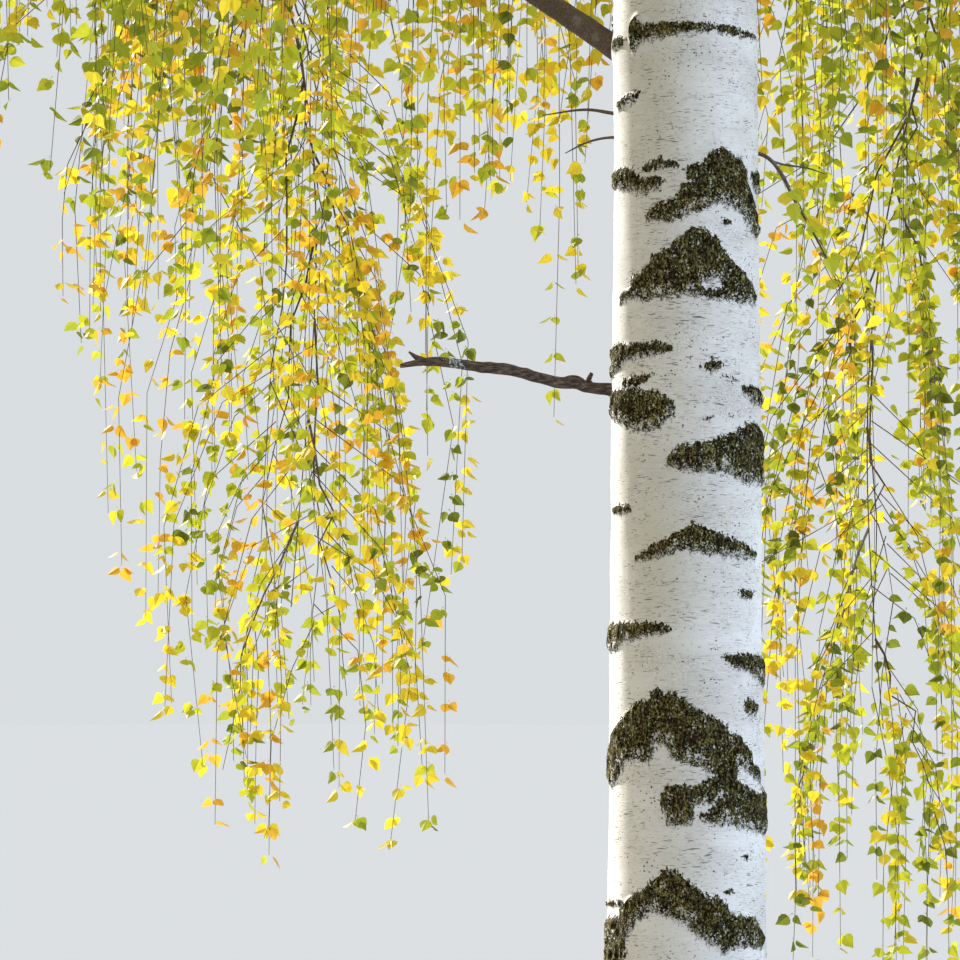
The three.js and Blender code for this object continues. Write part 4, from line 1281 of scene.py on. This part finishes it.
class MakeTrunk(bpy.types.Operator):
    """Covers the trunk in papery bark with rough scars, in stretches that get coarser upwards."""

    bl_idname = "birch.trunk"
    bl_label = "Trunk bark"

    def execute(self, context):
        bark = context.scene.birch_bark
        paint = shared("white bark", white_bark_paint, bark)
        for name, low, high, columns, rows in STRETCHES:
            points, faces, fields = bark_skin(low, high, columns, rows, bark)
            piece = build(name, points, faces, [paint], "white_bark", ["trunk"], fields=fields)
            bpy.data.collections[TRUNK_BARK].objects.link(piece)
        return {"FINISHED"}


class MakeBoughs(bpy.types.Operator):
    """Grows the boughs of every tier from inside the trunk's skin to their forks."""

    bl_idname = "birch.boughs"
    bl_label = "Boughs"

    def execute(self, context):
        paint = shared("dark bark", dark_bark_paint)
        for name in (tier.name for tier in TIERS if tier.bough):
            limbs = []
            for mass in (mass for mass in MASSES if mass.tier == name):
                corners = mass.bough_corners()
                start = BOUGH_PITCH * leaving(bezier(corners, np.linspace(0, 0.5, 200)), 0.7)
                path = bezier(corners, np.linspace(start, 1, BOUGH_RINGS))
                skin = limb_skin(path, mass.thick, mass.stem_radius, BOUGH_SIDES, mass.aside, mass.seed)
                limbs.append(tubes(skin))
            points, faces = joined(limbs)
            nodes = [node for node in NODES if node.startswith(name + "_bough")]
            build(f"{name}_boughs", points, faces, [paint], "dark_bark", nodes)
        return {"FINISHED"}


class MakeFoliage(bpy.types.Operator):
    """Grows stems, twigs and leaves of every mass inside the mass's own space."""

    bl_idname = "birch.foliage"
    bl_label = "Twigs and leaves"

    def execute(self, context):
        crown = context.scene.birch_crown
        paints = leaf_paints(crown)
        bark = shared("dark bark", dark_bark_paint)
        for name in [*(tier.name for tier in TIERS), "top"]:
            grow_tier(name, crown, paints, bark)
        return {"FINISHED"}


def low_wood(height, points, radii, sides, steps, seed, ridges):
    """A bare limb through points counted from the trunk's middle at a height in metres: rings whose radius
    follows the given radii, with long ridges and knots. Returns rings for a tube."""
    path = axis(height) + through(np.array(points) / 1000, steps)
    share = np.linspace(0, 1, steps + 1)
    radius = np.interp(share, np.linspace(0, 1, len(radii)), np.array(radii) / 1000)[:, None]
    angle, length = unrolled(path, sides)
    long = grain(angle, length, 7, 0.09, seed) - 0.5
    knots = grain(angle, length, 5, 0.016, seed + 1) - 0.5
    return carry(path, radius * (1 + ridges * long + 0.8 * ridges * knots), sides, UP)


class MakeLowWood(bpy.types.Operator):
    """Makes the dead snag, with its knot, stub and split tip, and the two bare twigs on the left."""

    bl_idname = "birch.low_wood"
    bl_label = "Snag and bare twigs"

    def execute(self, context):
        snag = ((-120, 0, 14), (-165, -6, 21), (-205, -10, 25), (-232, -14, 36), (-265, -20, 34),
                (-310, -27, 44), (-370, -36, 60), (-440, -46, 66), (-505, -52, 74), (-545, -57, 76),
                (-600, -62, 66))
        snag_radii = (16, 13.5, 11.5, 15, 13, 12, 11.5, 11, 10.5, 9, 4.5)
        prong = ((-545, -57, 76), (-566, -59, 84), (-582, -60, 96))
        stub = ((-200, -10, 26), (-204, -12, 40), (-198, -15, 55))
        limbs = [low_wood(SNAG_HEIGHT, snag, snag_radii, 18, 130, 31, 0.3),
                 low_wood(SNAG_HEIGHT, prong, (7.5, 5.5, 2), 10, 14, 33, 0.3),
                 low_wood(SNAG_HEIGHT, stub, (8, 6.5, 4), 10, 10, 35, 0.3)]
        points, faces = joined([tubes(limb) for limb in limbs])
        from_middle = points[:, 0]
        lichen = 0.42 * np.exp(-(((from_middle + 0.485) / 0.04) ** 2))
        lichen = lichen + 0.3 * np.exp(-(((from_middle + 0.275) / 0.03) ** 2)) + 0.05
        paint = shared("dead wood", dead_wood_paint)
        build("snag_dress", points, faces, [paint], "dead_wood", ["dead_snag"], fields={"lichen": lichen})
        bark = shared("dark bark", dark_bark_paint)
        high = ((-110, 20, 0), (-156, 34, 12), (-215, 60, 22), (-300, 92, 14))
        low = ((-110, 40, 0), (-158, 52, 4), (-205, 70, -4), (-252, 84, -26))
        for name, height, twig, radii, seed in (("left_twig_high", 2.748, high, (5, 3.8, 3, 1), 41),
                                                ("left_twig_low", 2.706, low, (4, 3, 2.4, 1), 43)):
            points, faces = tubes(low_wood(height, twig, radii, 8, 30, seed, 0.2))
            build(f"{name}_dress", points, faces, [bark], "dark_bark", [name])
        return {"FINISHED"}


class MakeShoot(bpy.types.Operator):
    """Makes the leafy shoot low on the right, with leaves of life size."""

    bl_idname = "birch.shoot"
    bl_label = "Low shoot"

    def execute(self, context):
        rng = np.random.default_rng(91)
        main = ((90, 60, 10), (168, 66, -2), (205, 64, -40), (232, 60, -95), (285, 56, -190),
                (330, 52, -290))
        fork = ((183, 65, -14), (215, 72, -22), (262, 80, -28), (300, 84, -40))
        wood = [tubes(low_wood(SHOOT_HEIGHT, main, (5, 4.2, 3.6, 3, 2.2, 1), 8, 50, 45, 0.2)),
                tubes(low_wood(SHOOT_HEIGHT, fork, (2.6, 2.2, 1.8, 0.9), 7, 30, 47, 0.2))]
        path = axis(SHOOT_HEIGHT) + through(np.array(main) / 1000, 60)
        roots = path[18::4]
        side = np.array([0, -1.0, 0.0])
        end = roots + LOW_SPAN * unit(side * rng.uniform(-1, 1, (len(roots), 1)) + (0.5, 0, -0.9))
        lines = (roots, 0.5 * (roots + end) + (0, 0, 0.006), end)
        *stand, spray = leaf_stand(lines, np.full(len(roots), LOW_SPAN), LOW_SPACING, LOW_LEAF, rng)
        blades = blades_of(*stand, NEAR_LEAF, NEAR_FACES)
        wood.append(twig_wood(*lines, *LOW_TWIG, rng))
        bark = shared("dark bark", dark_bark_paint)
        points, faces = joined(wood)
        build("low_shoot_twigs", points, faces, [bark], "dark_bark", ["low_shoot"])
        tint = rng.choice(LOW_TINTS, len(roots), p=LOW_SHARES)[spray // SPRAYS]
        build("low_shoot_leaves", *blades, leaf_paints(context.scene.birch_crown), "foliage", ["low_shoot"],
              tints=np.repeat(tint, len(NEAR_FACES)), smooth=False)
        return {"FINISHED"}


class MakeStage(bpy.types.Operator):
    """Sets the pale floor, the soft light and the camera."""

    bl_idname = "birch.stage"
    bl_label = "Floor, light and camera"

    def execute(self, context):
        scene = context.scene
        stage = scene.birch_stage
        turn = np.arange(FLOOR_CORNERS) * TAU / FLOOR_CORNERS
        rim = FLOOR_RADIUS * np.stack([np.cos(turn), np.sin(turn), 0 * turn], -1)
        mesh = bpy.data.meshes.new("floor")
        mesh.from_pydata(rim.tolist(), [], [list(range(FLOOR_CORNERS))])
        floor = placed("floor", mesh)
        paint = Paint("pale floor")
        paint.finish_with("Base Color", (*stage.floor, 1.0))
        paint.finish_with("Roughness", 0.9)
        paint.finish_with("Specular IOR Level", 0.0)
        mesh.materials.append(paint.material)
        floor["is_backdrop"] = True

        world = bpy.data.worlds.new("soft sky")
        world.use_nodes = True
        sky = world.node_tree.nodes["Background"]
        sky.inputs["Color"].default_value = (0.93, 0.97, 1.0, 1.0)
        sky.inputs["Strength"].default_value = stage.sky
        scene.world = world

        for name, colour, strength, spread, tilt, turn in LAMPS:
            lamp = bpy.data.lights.new(name, "SUN")
            lamp.energy = getattr(stage, strength)
            lamp.color = colour
            lamp.angle = math.radians(spread)
            placed(name, lamp, tilt=tilt, turn=turn)
        beam = bpy.data.lights.new("edge light", "AREA")
        beam.energy = stage.edge
        beam.color = (1.0, 0.96, 0.9)
        beam.shape = "RECTANGLE"
        beam.size = BEAM_WIDTH
        beam.size_y = BEAM_LENGTH
        beam.spread = math.radians(BEAM_SPREAD)
        edge = placed("edge light", beam, BEAM_PLACE, BEAM_TILT, SUN_TURN)
        edge.visible_camera = False
        link = edge.light_linking
        link.receiver_collection = link.blocker_collection = bpy.data.collections.new(TRUNK_BARK)

        lens = bpy.data.cameras.new("camera")
        lens.lens = FOCAL_LENGTH
        lens.sensor_width = 36
        lens.clip_end = 1500
        scene.camera = placed("camera", lens, CAMERA_PLACE, CAMERA_TILT)
        scene.view_settings.view_transform = "Standard"
        return {"FINISHED"}


class BirchPanel(bpy.types.Panel):
    """Lists the tree's pieces and what can be changed on them."""

    bl_idname = "VIEW3D_PT_birch"
    bl_label = "Silver birch"
    bl_space_type = "VIEW_3D"
    bl_region_type = "UI"
    bl_category = "Birch"

    def draw(self, context):
        scene = context.scene
        for step in STEPS:
            self.layout.operator(step.bl_idname, text=step.bl_label)
        for group in (scene.birch_bark, scene.birch_crown, scene.birch_stage):
            box = self.layout.box()
            for name in type(group).__annotations__:
                box.prop(group, name)


STEPS = (MakeStage, MakeTrunk, MakeBoughs, MakeLowWood, MakeShoot, MakeFoliage)
GROUPS = {"birch_bark": BirchBark, "birch_crown": BirchCrown, "birch_stage": BirchStage}


def register():
    for kind in (*GROUPS.values(), *STEPS, BirchPanel):
        bpy.utils.register_class(kind)
    for name, kind in GROUPS.items():
        setattr(bpy.types.Scene, name, bpy.props.PointerProperty(type=kind))


def unregister():
    for name in GROUPS:
        delattr(bpy.types.Scene, name)
    for kind in (BirchPanel, *reversed(STEPS), *GROUPS.values()):
        bpy.utils.unregister_class(kind)


def main():
    """Registers the classes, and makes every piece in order."""
    register()
    bpy.ops.birch.stage()
    bpy.ops.birch.trunk()
    bpy.ops.birch.boughs()
    bpy.ops.birch.low_wood()
    bpy.ops.birch.shoot()
    bpy.ops.birch.foliage()
    boxes = [[list(corner) for corner in box] for box in (FRAME_BOX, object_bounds())]


if __name__ == "__main__":
    main()
